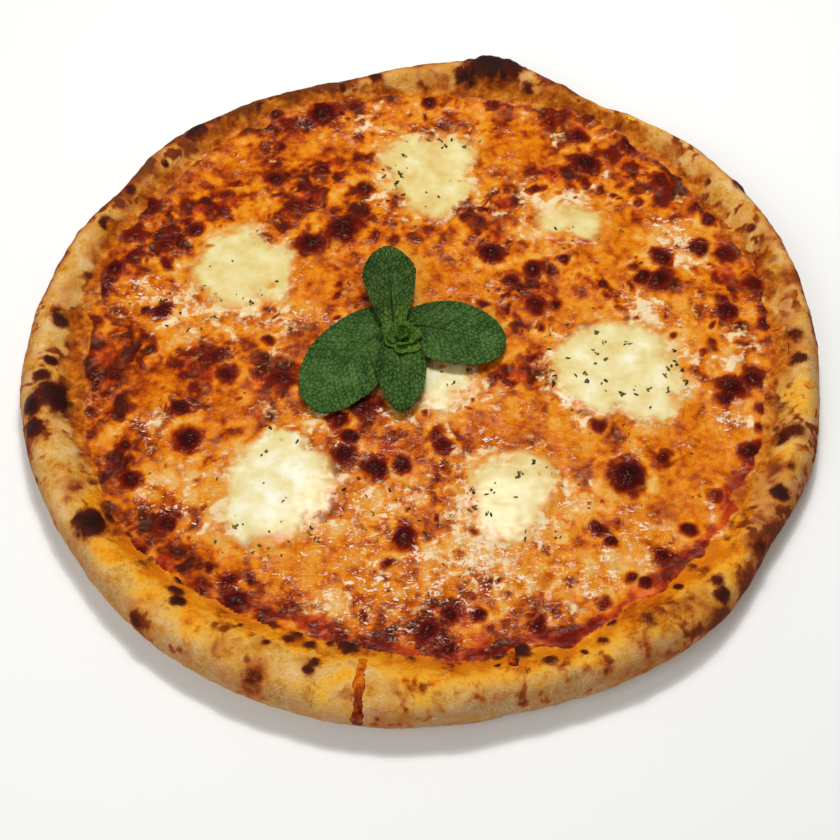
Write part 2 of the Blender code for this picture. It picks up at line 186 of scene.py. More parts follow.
# How much whiter than yellow each pool is
POOL_TONES = {
    "mozzarella_back": 0.12, "mozzarella_left": 0.16, "mozzarella_back_right": 0.06,
    "mozzarella_right": 0.26, "mozzarella_centre": 0.26, "mozzarella_front": 0.2,
    "mozzarella_front_left": 0.4,
}

# Mint sprig
SPRIG = (-9.5, 6.5)  # its stalk
STALK_RADIUS, STALK_LENGTH, STALK_MIDDLE = 1.5, 6.0, 12.6  # the last is the height of its middle
HEART = (-7.3, 1.6)  # the middle of the tuft of young leaves at its end
LEAF_THICKNESS = 0.45
VEIN_SLANT = 0.95  # how far a side vein runs towards the tip for each mm it runs out
VEIN_SPACING = 4.4
TOOTH_SPACING = 2.3
QUILT_CELL = 1.5  # breadth of the puffs between a leaf's fine veins
# Each leaf: where its foot is, the heading of its tip, its length and width, where along it it is
# widest, how full its foot half is, the width of its very foot as a share, how blunt its tip is (2 is
# an ellipse), height of its foot, arch of its middle, height of its tip, how far its sides bend
# down, how far its midrib bows to the left, how much painted shade darkens its green
LEAF_KEYS = (
    "x", "y", "heading", "length", "width", "widest", "full", "stalk", "blunt", "foot", "arch", "tip",
    "bend", "bow", "deep",
)
LEAVES = {
    "mint_leaf_left": (-10.7, 12.9, 233, 52.8, 32.6, 0.5, 2.0, 0.6, 2.0, 11.7, 0.9, 10.9, 0.8, -2.0, 0.0),
    "mint_leaf_right": (-8, 10, -13.9, 42.7, 30, 0.5, 2.0, 0.15, 2.0, 12.9, 1.6, 11.9, 0.9, 0.6, 0.1),
    "mint_leaf_back": (-11, 8, 95.2, 38.2, 21.6, 0.62, 1.25, 0.38, 1.6, 15.0, 0.8, 18.4, -1.0, 0.0, 0.8),
    "mint_leaf_front": (-9.3, 4.6, 273.6, 36.4, 19.4, 0.5, 1.7, 0.25, 1.7, 14.6, 1.2, 12.6, 0.5, 0.5, 0.2),
}
# Rings of young leaves in the heart: how many, length, how far they stand up, height of their feet
HEART_RINGS = ((6, 8.6, 0.06, 15.9), (5, 6.4, 0.35, 16.4), (4, 4.2, 0.8, 16.9))

HERB_COUNT = 460
FLAKE_THICKNESS = 0.16
FLAKE_RAISE = 0.12  # how far a flake's middle stands off what it lies on
# Dried oregano: x, y of the flakes that lie by themselves, then loose clusters x, y, count, spread
HERB_FLAKES = (
    (3, 112), (8, 114), (13, 113), (10, 110), (25, 115), (19, 110), (-8, 104), (-14, 97), (-9, 94),
    (-11, 89), (-12, 81), (-8, 80), (-15, 79), (7, 81), (-7, 113), (70, 9), (73, 4), (69, 1), (71, -2),
    (74, -4), (82, 4), (70, -6), (60, -3), (60, -12), (65, -11), (65, -15), (52, -9), (53, -12),
    (52, -16), (78, -19), (79, -21), (84, -20), (89, -19), (97, -19), (97, -12), (99, -8), (101, -6),
    (103, -9), (101, 0), (104, -14), (59, 13), (79, -34), (43, -52), (37, -57), (27, -65), (20, -65),
    (26, -75), (20, -72), (39, -85), (51, -84), (2, -83), (-60, -49), (-68, -81), (-76, -85),
    (-40, -81), (-41, -83), (-38, -85), (-59, -89), (-61, -91), (-56, -92), (-58, -36), (-29, -65),
    (-47, -43), (-69, 23), (-84, 16), (-105, 25), (-59, 35), (-95, 10), (-89, 10), (-108, -1),
    (11, -17), (19, -9),
)
HERB_CLUSTERS = (
    (-20, 90, 16, 7), (-24, 80, 12, 6), (20, -66, 8, 4), (14, -98, 12, 6), (12, -17, 7, 4),
    (-10, -70, 16, 14), (-85, 5, 14, 16), (40, 10, 10, 14), (5, -60, 12, 12), (70, -20, 8, 12),
    (-60, -85, 7, 6), (0, 60, 10, 20), (-100, 30, 8, 10), (60, 60, 10, 22), (45, -75, 8, 10),
)

# Studio, in metres from the origin: each light's place, breadth, depth and power
LIGHTS = {
    "key": ((0.03, 0.30, 0.80), 0.34, 0.19, 3.5),
    "spark": ((0.03, 0.31, 0.80), 0.09, 0.05, 1.8),
    "fill": ((-0.5, -0.7, 0.75), 0.8, 0.8, 4.4),
}
LIGHTS_AIM = (0, -0.03, 0)
AMBIENT = 0.235  # strength of the even light all round
CAMERA_ELEVATION = 54.85
CAMERA_DISTANCE = 0.6
CAMERA_SHIFT = (0.0013, -0.0009)  # how far it stands off the middle line
CAMERA_AIM = (-0.0003, -0.0272, 0)
LENS, SENSOR = 63.7, 36


# ---------------------------------------------------------------- small helpers


def linear(hex_colour):
    """An sRGB hex colour as the linear red, green, blue and alpha that Blender takes."""
    channels = [int(hex_colour[i : i + 2], 16) / 255 for i in (1, 3, 5)]
    return [c / 12.92 if c <= 0.04045 else ((c + 0.055) / 1.055) ** 2.4 for c in channels] + [1.0]


def smooth(low, high, value):
    """0 below low, 1 above high, and an even S between."""
    share = np.clip((value - low) / (high - low), 0, 1)
    return share * share * (3 - 2 * share)


PRIMES = np.array([73856093, 19349663, 83492791])


def scattered(cells, shift):
    """A number from 0 to 4095 for each whole-numbered cell, in no visible order."""
    return (np.bitwise_xor.reduce(cells * PRIMES[: cells.shape[1]], axis=1) >> shift) & 4095


def noise(points, cell, seed):
    """Smooth noise, about -1 to 1, at points in mm: its lumps are about one cell apart."""
    table = np.random.default_rng(seed).normal(size=(4096, 3))
    table /= np.linalg.norm(table, axis=1)[:, None]
    scaled = points / cell + 100.5
    corner = np.floor(scaled).astype(np.int64)
    share = scaled - corner
    fade = share**3 * (share * (share * 6 - 15) + 10)
    total = np.zeros(len(points))
    for step in itertools.product((0, 1), repeat=3):
        slope = table[scattered(corner + step, 3)]
        weight = np.prod(np.where(step, fade, 1 - fade), axis=1)
        total += weight * np.einsum("ij,ij->i", slope, share - step)
    return total * 1.6


def layered(points, cell, seed, layers=3):
    """Noise with finer and fainter noise on it."""
    return sum(noise(points, cell / 2**k, seed + 17 * k) / 1.8**k for k in range(layers))


def cracks(points, cell, seed):
    """0 on the lines between irregular cells of about this size, rising to about 1 in their middles."""
    jitter = np.random.default_rng(seed).uniform(0, 1, (4096, 2))
    corner = np.floor(points[:, :2] / cell).astype(np.int64)
    nearest = np.full(len(points), 9.0)
    second = np.full(len(points), 9.0)
    for step in itertools.product((-1, 0, 1), repeat=2):
        near = corner + step
        away = np.linalg.norm(near + jitter[scattered(near, 2)] - points[:, :2] / cell, axis=1)
        second = np.minimum(second, np.maximum(nearest, away))
        nearest = np.minimum(nearest, away)
    return np.clip(second - nearest, 0, 1)


def points_of(piece):
    """The places of a piece's vertices, in mm, one row each."""
    flat = np.empty(len(piece.data.vertices) * 3)
    piece.data.vertices.foreach_get("co", flat)
    return flat.reshape(-1, 3) / MM


def move_points(piece, points):
    """Puts a piece's vertices at these places, in mm."""
    piece.data.vertices.foreach_set("co", (points * MM).ravel())
    piece.data.update()


def normals_of(piece):
    """Which way a piece faces at each of its vertices, one row each."""
    flat = np.empty(len(piece.data.vertices) * 3)
    piece.data.vertices.foreach_get("normal", flat)
    return flat.reshape(-1, 3)


def store(piece, **values):
    """Keeps a number for each vertex under each name, for the piece's material to read."""
    for name, value in values.items():
        layer = piece.data.attributes.new(name, "FLOAT", "POINT")
        layer.data.foreach_set("value", np.asarray(value, np.float32))


def select_only(piece):
    """Leaves this piece selected and active, and nothing else."""
    bpy.ops.object.select_all(action="DESELECT")
    piece.select_set(True)
    bpy.context.view_layer.objects.active = piece


@contextlib.contextmanager
def editing(piece, first=None):
    """Edit mode on one piece, with all of it selected first, or nothing, or what was selected before."""
    select_only(piece)
    bpy.ops.object.mode_set(mode="EDIT")
    if first:
        bpy.ops.mesh.select_all(action=first)
    yield
    bpy.ops.object.mode_set(mode="OBJECT")


def select_points(piece, chosen):
    """In object mode: marks these vertices, and the edges and faces that have all of theirs marked."""
    mesh = piece.data
    mesh.vertices.foreach_set("select", chosen)
    ends = np.empty(len(mesh.edges) * 2, int)
    mesh.edges.foreach_get("vertices", ends)
    mesh.edges.foreach_set("select", chosen[ends.reshape(-1, 2)].all(1))
    mesh.polygons.foreach_set("select", [bool(chosen[list(p.vertices)].all()) for p in mesh.polygons])


def surface_tree(pieces):
    """A search tree of these pieces' surfaces, in mm."""
    corners, faces = [], []
    for piece in pieces:
        start = len(corners)
        corners += points_of(piece).tolist()
        faces += [[start + i for i in p.vertices] for p in piece.data.polygons]
    return BVHTree.FromPolygons(corners, faces)


def straight_below(tree, x, y):
    """The place and the normal of the surface under a point, or None twice where there is none."""
    return tree.ray_cast(Vector((x, y, ABOVE_ALL)), Vector((0, 0, -1)))[:2]


def heights_on(tree, points, missing):
    """The height of the surface straight below each point, or missing where there is none."""
    found = (straight_below(tree, x, y)[0] for x, y in points[:, :2])
    return np.array([missing if hit is None else hit.z for hit in found])


def smooth_max(a, b, sharpness=2.2):
    """The larger of a and b, with the corner between them rounded."""
    return np.logaddexp(sharpness * a, sharpness * b) / sharpness


def strands(flat, cell, seed):
    """Thin melted shreds that lie in two directions: 1 along their middles, 0 between them."""
    one = noise(flat * [0.4, 1, 0], cell, seed)
    other = noise(flat * [1, 0.4, 0], cell, seed + 1)
    return np.clip(1 - 3.2 * np.minimum(np.abs(one), np.abs(other)), 0, 1)


def dome(distance, radius):
    """A round swelling with a soft foot: 1 at the middle, 0 from 1.25 radii out."""
    return smooth(1.25, 0.15, distance / radius)


def finish_piece(piece, material, slot, *nodes):
    """Gives a piece its one material and its place in the frame, in the room of these CAD nodes."""
    piece.data.materials.clear()
    piece.data.materials.append(material)
    piece.data.polygons.foreach_set("material_index", [0] * len(piece.data.polygons))
    select_only(piece)
    bpy.ops.object.shade_smooth()
    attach(piece, "root")
    if nodes:
        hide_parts(*nodes)


# ---------------------------------------------------------------- materials


def add(tree, kind, put=None, stops=None, out=0, **settings):
    """Adds a node and returns one of its outputs.

    settings are its properties, put gives its inputs, each a value, another node's output or the
    name of a number stored on the mesh, and stops are a colour ramp's places and colours.
    """
    made = tree.nodes.new("ShaderNode" + kind)
    for name, value in settings.items():
        setattr(made, name, value)
    for key, value in (put or {}).items():
        if isinstance(value, str):
            value = add(tree, "Attribute", out="Fac", attribute_name=value)
        if isinstance(value, bpy.types.NodeSocket):
            tree.links.new(value, made.inputs[key])
        else:
            made.inputs[key].default_value = value
    if stops:
        ramp = made.color_ramp.elements
        while len(ramp) < len(stops):
            ramp.new(0.5)
        for element, (place, colour) in zip(ramp, stops):
            element.position = place
            element.color = linear(colour)
    return None if out is None else made.outputs[out]


def new_material(name):
    material = bpy.data.materials.new(name)
    material.use_nodes = True
    material.node_tree.nodes.clear()
    return material, material.node_tree


def per_mm(size):
    """The scale of a pattern on coordinates in metres whose features are this many mm apart."""
    return 1 / (size * MM)


def speckles(tree, *kinds):
    """Noise patterns on the object's own coordinates, each 0 to 1 about 0.5.

    A kind is how many mm its features are apart, how many finer layers it has and their strength.
    """
    where = add(tree, "TexCoord", out="Object")
    made = []
    for size, detail, rough in kinds:
        put = {"Vector": where, "Scale": per_mm(size), "Detail": detail, "Roughness": rough}
        made.append(add(tree, "TexNoise", put))
    return made


def wrinkles(tree, size, detail, distortion):
    """A swirled noise, drawn out along X, whose ridges catch the light as short bright flecks."""
    where = add(tree, "TexCoord", out="Object")
    drawn = add(tree, "Mapping", {"Vector": where, "Scale": (0.7, 1.2, 1.0)})
    put = {"Vector": drawn, "Scale": per_mm(size), "Detail": detail, "Roughness": 0.62}
    put["Distortion"] = distortion
    return add(tree, "TexNoise", put)


def nudged(tree, value, *pairs):
    """value plus each pattern's swing about its middle times its weight."""
    for pattern, weight in pairs:
        value = add(tree, "Math", {0: pattern, 1: weight, 2: value}, operation="MULTIPLY_ADD")
    middle = sum(weight for _, weight in pairs) / 2
    return add(tree, "Math", {0: value, 1: middle}, operation="SUBTRACT")


def product(tree, first, *others):
    """All of these multiplied together."""
    for other in others:
        first = add(tree, "Math", {0: first, 1: other}, operation="MULTIPLY")
    return first


def rising(low, high, start=0.0, end=1.0):
    """The inputs of a MapRange that goes in an even S from start to end."""
    return {"From Min": low, "From Max": high, "To Min": start, "To Max": end}


def coat(tree, under, pattern, low, high, over, most=1.0):
    """over laid on under where the pattern rises from low to high, at most this much of it.

    over is a hex colour, a finished colour, or the stops of a ramp that follows the pattern.
    """
    put = {"Value": pattern, **rising(low, high, 0.0, most)}
    share = add(tree, "MapRange", put, interpolation_type="SMOOTHSTEP")
    if isinstance(over, tuple):
        over = add(tree, "ValToRGB", {"Fac": pattern}, over)
    elif isinstance(over, str):
        over = linear(over)
    return add(tree, "Mix", {0: share, 6: under, 7: over}, out=2, data_type="RGBA")


def finish_material(tree, colour, roughness, height, distance, **constants):
    """The surface shader and its bump: distance is the bump's full height in mm."""
    bump = add(tree, "Bump", {"Height": height, "Distance": distance * MM, "Strength": 1.0})
    put = {"Base Color": colour, "Roughness": roughness, "Normal": bump}
    put.update({name.replace("_", " "): value for name, value in constants.items()})
    shader = add(tree, "BsdfPrincipled", put)
    add(tree, "OutputMaterial", {"Surface": shader}, out=None)


# Noise kinds that more than one material uses: mm between features, layers, their strength
CHEESE_FINE = (0.8, 3.0, 0.6)
CHEESE_STRAND = (2.8, 4.0, 0.6)
CHEESE_PATCH = (7.0, 3.0, 0.5)


def oily_fringe(tree):
    """The toasted, oily colour where sauce and dough meet: both materials end in it, so no line shows."""
    strand, patch = speckles(tree, CHEESE_STRAND, CHEESE_PATCH)
    tone = nudged(tree, 0.5, (strand, 1.2), (patch, 1.4))
    stops = ((0.1, "#70220A"), (0.35, "#A0480C"), (0.6, "#C46C14"), (0.9, "#DC963C"))
    return add(tree, "ValToRGB", {"Fac": tone}, stops)


def melted_top(tree):
    """The colour that the cheese and the mozzarella share, so that one runs into the other."""
    curd_kind = (10.0, 2.0, 0.5)
    fine, strand, patch, curd = speckles(tree, CHEESE_FINE, CHEESE_STRAND, CHEESE_PATCH, curd_kind)

    # Tomato sauce and browned fat: from yellow oil over orange to dark baked sauce
    sauce = nudged(tree, "sauce", (strand, 0.7), (fine, 0.3), (patch, 0.3))
    baked = (
        (0.0, "#E3AC58"), (0.14, "#E0942E"), (0.28, "#DE840C"), (0.42, "#D06A06"),
        (0.55, "#B44E04"), (0.68, "#8E3006"), (0.84, "#661C08"), (1.0, "#46100A"),
    )
    colour = add(tree, "ValToRGB", {"Fac": sauce}, baked)

    # Melted shredded cheese: see-through and tan where thin, cream where thick
    pale = nudged(tree, "pale", (strand, 1.5), (fine, 0.6))
    cream = ((0.4, "#C87228"), (0.6, "#D99248"), (0.8, "#E4B678"), (1.0, "#F0D8AC"))
    colour = coat(tree, colour, pale, 0.4, 1.0, cream, 0.9)

    # Bare tomato sauce: wet and deep red
    bare = nudged(tree, "bare", (strand, 0.6), (patch, 0.3))
    red = ((0.2, "#D85C10"), (0.45, "#BC3C12"), (0.7, "#98260E"), (0.95, "#68140C"))
    colour = coat(tree, colour, bare, 0.3, 0.9, add(tree, "ValToRGB", {"Fac": sauce}, red), 0.9)

    # Mozzarella pools: yellow where smooth, white where the curd is thick
    pool = nudged(tree, "pool", (strand, 0.5), (fine, 0.2))
    milk_tone = nudged(tree, "milk", (curd, 1.0), (strand, 0.3))
    milk = (
        (0.0, "#C48C38"), (0.25, "#D6B262"), (0.5, "#E0CA84"), (0.72, "#E8DAA0"),
        (0.86, "#F0E8C4"), (1.0, "#F6F2DE"),
    )
    colour = coat(tree, colour, pool, 0.06, 0.92, add(tree, "ValToRGB", {"Fac": milk_tone}, milk))

    # Browned bubbles: a brown skirt, a maroon shoulder and a nearly black cap
    char = nudged(tree, "char", (fine, 0.14), (strand, 0.2))
    burnt = ((0.1, "#A4420C"), (0.3, "#86240A"), (0.5, "#68140C"), (0.75, "#480D0C"), (1.0, "#2E090A"))
    colour = coat(tree, colour, char, 0.05, 0.6, burnt)

    # Where the sheet thins out on the rim it turns to the rim's own oily ochre
    thin = nudged(tree, "thin", (strand, 0.9), (fine, 0.3))
    return coat(tree, colour, thin, 0.25, 0.9, oily_fringe(tree)), fine


def baked_cheese():
    """Shredded cheese melted into tomato sauce and baked: oily gloss, marbled, dark glossy bubbles."""
    material, tree = new_material("baked_cheese_and_tomato_sauce")
    colour, fine = melted_top(tree)
    folds = wrinkles(tree, 2.5, 1.8, 1.1)
    # Pale flecks, partly thin white strands of cheese and partly painted highlight glints, where the skin
    # is wrinkled and its bump catches the light
    put = {"Value": nudged(tree, folds, (fine, 0.5)), **rising(0.56, 0.7, 0.0, 0.9)}
    strand = add(tree, "MapRange", put, interpolation_type="SMOOTHSTEP")
    glint_fleck = product(tree, strand, "grit", "glint_flecks", "grit")
    colour = add(tree, "Mix", {0: glint_fleck, 6: colour, 7: linear("#F6DEC8")}, out=2, data_type="RGBA")
    roughness = add(tree, "MapRange", {"Value": "grit", **rising(0.0, 1.0, 0.36, 0.12)})
    finish_material(
        tree, colour, nudged(tree, roughness, (fine, 0.1)), product(tree, folds, "grit"), 1.0,
        Specular_IOR_Level=0.1, Specular_Tint=linear("#FFD2A4"),
        Subsurface_Weight=0.2, Subsurface_Radius=(1.0, 0.45, 0.2), Subsurface_Scale=1.0 * MM,
    )
    return material


def soft_mozzarella():
    """Fresh mozzarella melted into a smooth pool: cream, slightly see-through, wet satin."""
    material, tree = new_material("melted_fresh_mozzarella")
    colour, _ = melted_top(tree)
    finish_material(
        tree, colour, 0.26, wrinkles(tree, 6.0, 0.6, 0.4), 0.2, Specular_IOR_Level=0.16,
        Subsurface_Weight=0.35, Subsurface_Radius=(1.0, 0.7, 0.4), Subsurface_Scale=2.0 * MM,
    )
    return material


def baked_dough():
    """Wheat dough baked in a hot oven: golden, oily yellow inside, floury grey-beige outside."""
    material, tree = new_material("hearth_baked_wheat_dough")
    fine, pore, patch = speckles(tree, (0.55, 2.0, 0.6), (1.9, 4.0, 0.65), (8.0, 4.0, 0.6))

    crumb = nudged(tree, 0.5, (patch, 1.3), (pore, 0.8), (fine, 0.4))
    baked = ((0.1, "#BA6A12"), (0.32, "#D49232"), (0.55, "#E2B060"), (0.85, "#ECD0A0"))
    colour = add(tree, "ValToRGB", {"Fac": crumb}, baked)

    # Yellow oil and fat run out of the cheese over the inner slope
    oil = nudged(tree, "oil", (patch, 1.5), (pore, 0.8), (fine, 0.25))
    oily = ((0.25, "#EAC070"), (0.45, "#F4B63C"), (0.7, "#F09C18"), (1.0, "#DC760A"))
    colour = coat(tree, colour, oil, 0.2, 0.6, oily)

    # Flour from the bench, low on the outside
    flour = nudged(tree, "flour", (pore, 0.7), (fine, 0.3), (patch, 0.6))
    grain = nudged(tree, 0.5, (fine, 1.5), (pore, 0.9), (patch, 0.6))
    dusty = ((0.1, "#74522F"), (0.5, "#AE8A62"), (0.9, "#D8C09C"))
    colour = coat(tree, colour, flour, 0.2, 0.9, add(tree, "ValToRGB", {"Fac": grain}, dusty), 0.9)

    # Toasted browning, and the painted shade along the rim's outer edge
    toast = nudged(tree, "toast", (patch, 0.8), (pore, 0.5), (fine, 0.2))
    brown = ((0.4, "#D47E16"), (0.6, "#BC5C08"), (0.8, "#943808"), (1.0, "#642008"))
    colour = coat(tree, colour, toast, 0.22, 0.88, brown, 0.95)

    char = nudged(tree, "char", (pore, 0.5), (fine, 0.3))
    burnt = ((0.1, "#AA5E16"), (0.28, "#84380E"), (0.46, "#5A1C0E"), (0.7, "#3A100E"), (1.0, "#260A0B"))
    colour = coat(tree, colour, char, 0.04, 0.5, burnt)

    # Up against the sauce
    fringe = nudged(tree, "fringe", (pore, 0.6), (patch, 0.5))
    colour = coat(tree, colour, fringe, 0.15, 0.85, oily_fringe(tree))

    # Satin where oily or burnt, matt on bare crust, chalky under flour
    wet = add(tree, "Math", {0: oil, 1: char}, operation="MAXIMUM")
    put = {"Value": wet, **rising(0.3, 0.7, 0.7, 0.42)}
    roughness = add(tree, "MapRange", put, interpolation_type="SMOOTHSTEP")
    put = {"Value": flour, **rising(0.3, 0.8, roughness, 0.9)}
    roughness = add(tree, "MapRange", put, interpolation_type="SMOOTHSTEP")
    height = add(tree, "Math", {0: fine, 1: 0.6, 2: pore}, operation="MULTIPLY_ADD")
    finish_material(
        tree, colour, roughness, height, 0.65, Specular_IOR_Level=0.13, Specular_Tint=linear("#FFE2B8")
    )
    return material


def mint_leaf():
    """A fresh mint leaf: deep green, quilted between its veins, satin."""
    material, tree = new_material("fresh_mint_leaf")
    fine, patch = speckles(tree, (0.45, 2.0, 0.6), (6.0, 3.0, 0.5))
    puff = nudged(tree, "puff", (fine, 0.5), (patch, 1.0))
    # Painted shade and highlight: the creases between the puffs darker, the puff tops lighter
    crease_shaded_green = ((0.0, "#142A04"), (0.35, "#26430E"), (0.7, "#385A1C"), (1.0, "#4C6C34"))
    colour = add(tree, "ValToRGB", {"Fac": puff}, crease_shaded_green)
    vein = nudged(tree, "vein", (fine, 0.3))
    colour = coat(tree, colour, vein, 0.35, 0.9, "#5A7A2C", 0.45)
    # Painted shade: darker towards the foot and edges and on the back leaf, with random tone; yellower
    # where young
    dark = add(tree, "ValToRGB", {"Fac": puff}, ((0.0, "#0F2002"), (0.4, "#1E3406"), (1.0, "#3C581A")))
    colour = add(tree, "Mix", {0: "deep", 6: colour, 7: dark}, out=2, data_type="RGBA")
    tender = add(tree, "ValToRGB", {"Fac": puff}, ((0.0, "#263A06"), (0.5, "#44600E"), (1.0, "#668A26")))
    colour = coat(tree, colour, "young", 0.0, 1.0, tender, 0.75)
    roughness = add(tree, "MapRange", {"Value": puff, **rising(0.0, 1.0, 0.7, 0.36)})
    finish_material(
        tree, colour, nudged(tree, roughness, (fine, 0.15)), fine, 0.14,
        Specular_IOR_Level=0.22, Specular_Tint=linear("#DCEBC4"),
    )
    return material


def dried_oregano():
    """Dried oregano: brittle flakes, from nearly black green to olive and brown."""
    material, tree = new_material("dried_oregano")
    mottle, grain = speckles(tree, (0.6, 3.0, 0.55), (0.4, 3.0, 0.55))
    tone = nudged(tree, "tone", (mottle, 0.3))
    stops = ((0.0, "#221E08"), (0.35, "#423E14"), (0.65, "#625A20"), (0.85, "#765A1C"), (1.0, "#90863C"))
    colour = add(tree, "ValToRGB", {"Fac": tone}, stops)
    finish_material(tree, colour, 0.7, grain, 0.1, Specular_IOR_Level=0.1)
    return material


# ---------------------------------------------------------------- the dough


def sheet(rows, columns, size, middle=(0, 0)):
    """A flat grid of faces with its place in its mesh."""
    bpy.ops.object.select_all(action="DESELECT")
    bpy.ops.mesh.primitive_grid_add(
        x_subdivisions=rows, y_subdivisions=columns, size=size, location=(*middle, 0)
    )
    bpy.ops.object.transform_apply(location=True, rotation=False, scale=False)
    return bpy.context.object


def thicken(piece, thickness, offset=-1):
    """Turns a sheet into a thin solid: offset -1 puts all of it below the sheet, 0 half on either side."""
    wall = piece.modifiers.new("thickness", "SOLIDIFY")
    wall.thickness = thickness
    wall.offset = offset
    bpy.ops.object.modifier_apply(modifier="thickness")


def merged_copy(node_name, name):
    """A copy of a CAD node with its loose triangles joined up into quads again."""
    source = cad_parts[node_name]
    piece = bpy.data.objects.new(name, source.data.copy())
    bpy.context.scene.collection.objects.link(piece)
    nearly_flat = math.radians(60)
    with editing(piece, "SELECT"):
        bpy.ops.mesh.remove_doubles(threshold=0.01 * MM)
        bpy.ops.mesh.tris_convert_to_quads(face_threshold=nearly_flat, shape_threshold=nearly_flat)
        bpy.ops.mesh.normals_make_consistent(inside=False)
    return piece


def subdivide_round(piece, cuts):
    """Cuts every edge of the rim that runs round the pizza into more pieces."""
    points = points_of(piece)
    ends = np.empty(len(piece.data.edges) * 2, int)
    piece.data.edges.foreach_get("vertices", ends)
    ends = ends.reshape(-1, 2)
    along = points[ends[:, 1]] - points[ends[:, 0]]
    middle = (points[ends[:, 1]] + points[ends[:, 0]]) / 2
    radius = np.hypot(middle[:, 0], middle[:, 1])
    round_way = np.stack([-middle[:, 1], middle[:, 0]], 1) / np.maximum(radius, 1)[:, None]
    turn = np.abs((along[:, :2] * round_way).sum(1)) / np.linalg.norm(along, axis=1)
    with editing(piece, "DESELECT"):
        bpy.ops.mesh.select_mode(type="EDGE")
    # Edges that run round the rim, not in towards the middle
    piece.data.edges.foreach_set("select", (turn > 0.8) & (radius > 110))
    with editing(piece):
        bpy.ops.mesh.subdivide(number_cuts=cuts)
        bpy.ops.mesh.select_mode(type="VERT")


def outline_of(points, middle, count):
    """How far out a piece's outline lies from its middle, as a function of a place's direction."""
    around = points[:, :2] - middle
    bins = np.arange(count) * 360 / count
    direction = np.degrees(np.arctan2(around[:, 1], around[:, 0])) % 360
    nearest = np.round(direction * count / 360).astype(int) % count
    farthest = np.zeros(count)
    np.maximum.at(farthest, nearest, np.hypot(around[:, 0], around[:, 1]))
    return lambda x, y: np.interp(np.degrees(np.arctan2(y, x)), bins, farthest, period=360)


dough_outline = outline_of(points_of(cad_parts["crust"]), (0, 0), 108)
cheese_outline = outline_of(points_of(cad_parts["sauce_and_cheese"]), (0, 0), 108)


def arc(x, y, middle, reach):
    """1 within this many degrees either side of a direction, 0 outside, with soft ends."""
    turn = np.abs((np.degrees(np.arctan2(y, x)) - middle + 180) % 360 - 180)
    return smooth(reach + 12, reach - 12, turn)


def inside_lap(points):
    """How far inside the sauce's ragged outer edge each point lies, in mm: below 0 on the bare rim."""
    flat = points * [1, 1, 0]
    beyond = np.hypot(flat[:, 0], flat[:, 1]) - cheese_outline(flat[:, 0], flat[:, 1])
    lap = LAP_BACK + (LAP_FRONT - LAP_BACK) * arc(flat[:, 0], flat[:, 1], *FRONT_ARC)
    lap = lap + 3.6 * noise(flat, 15.0, 170) + 2.2 * noise(flat, 6.0, 171) + 0.6 * noise(flat, 2.6, 172)
    return lap - beyond


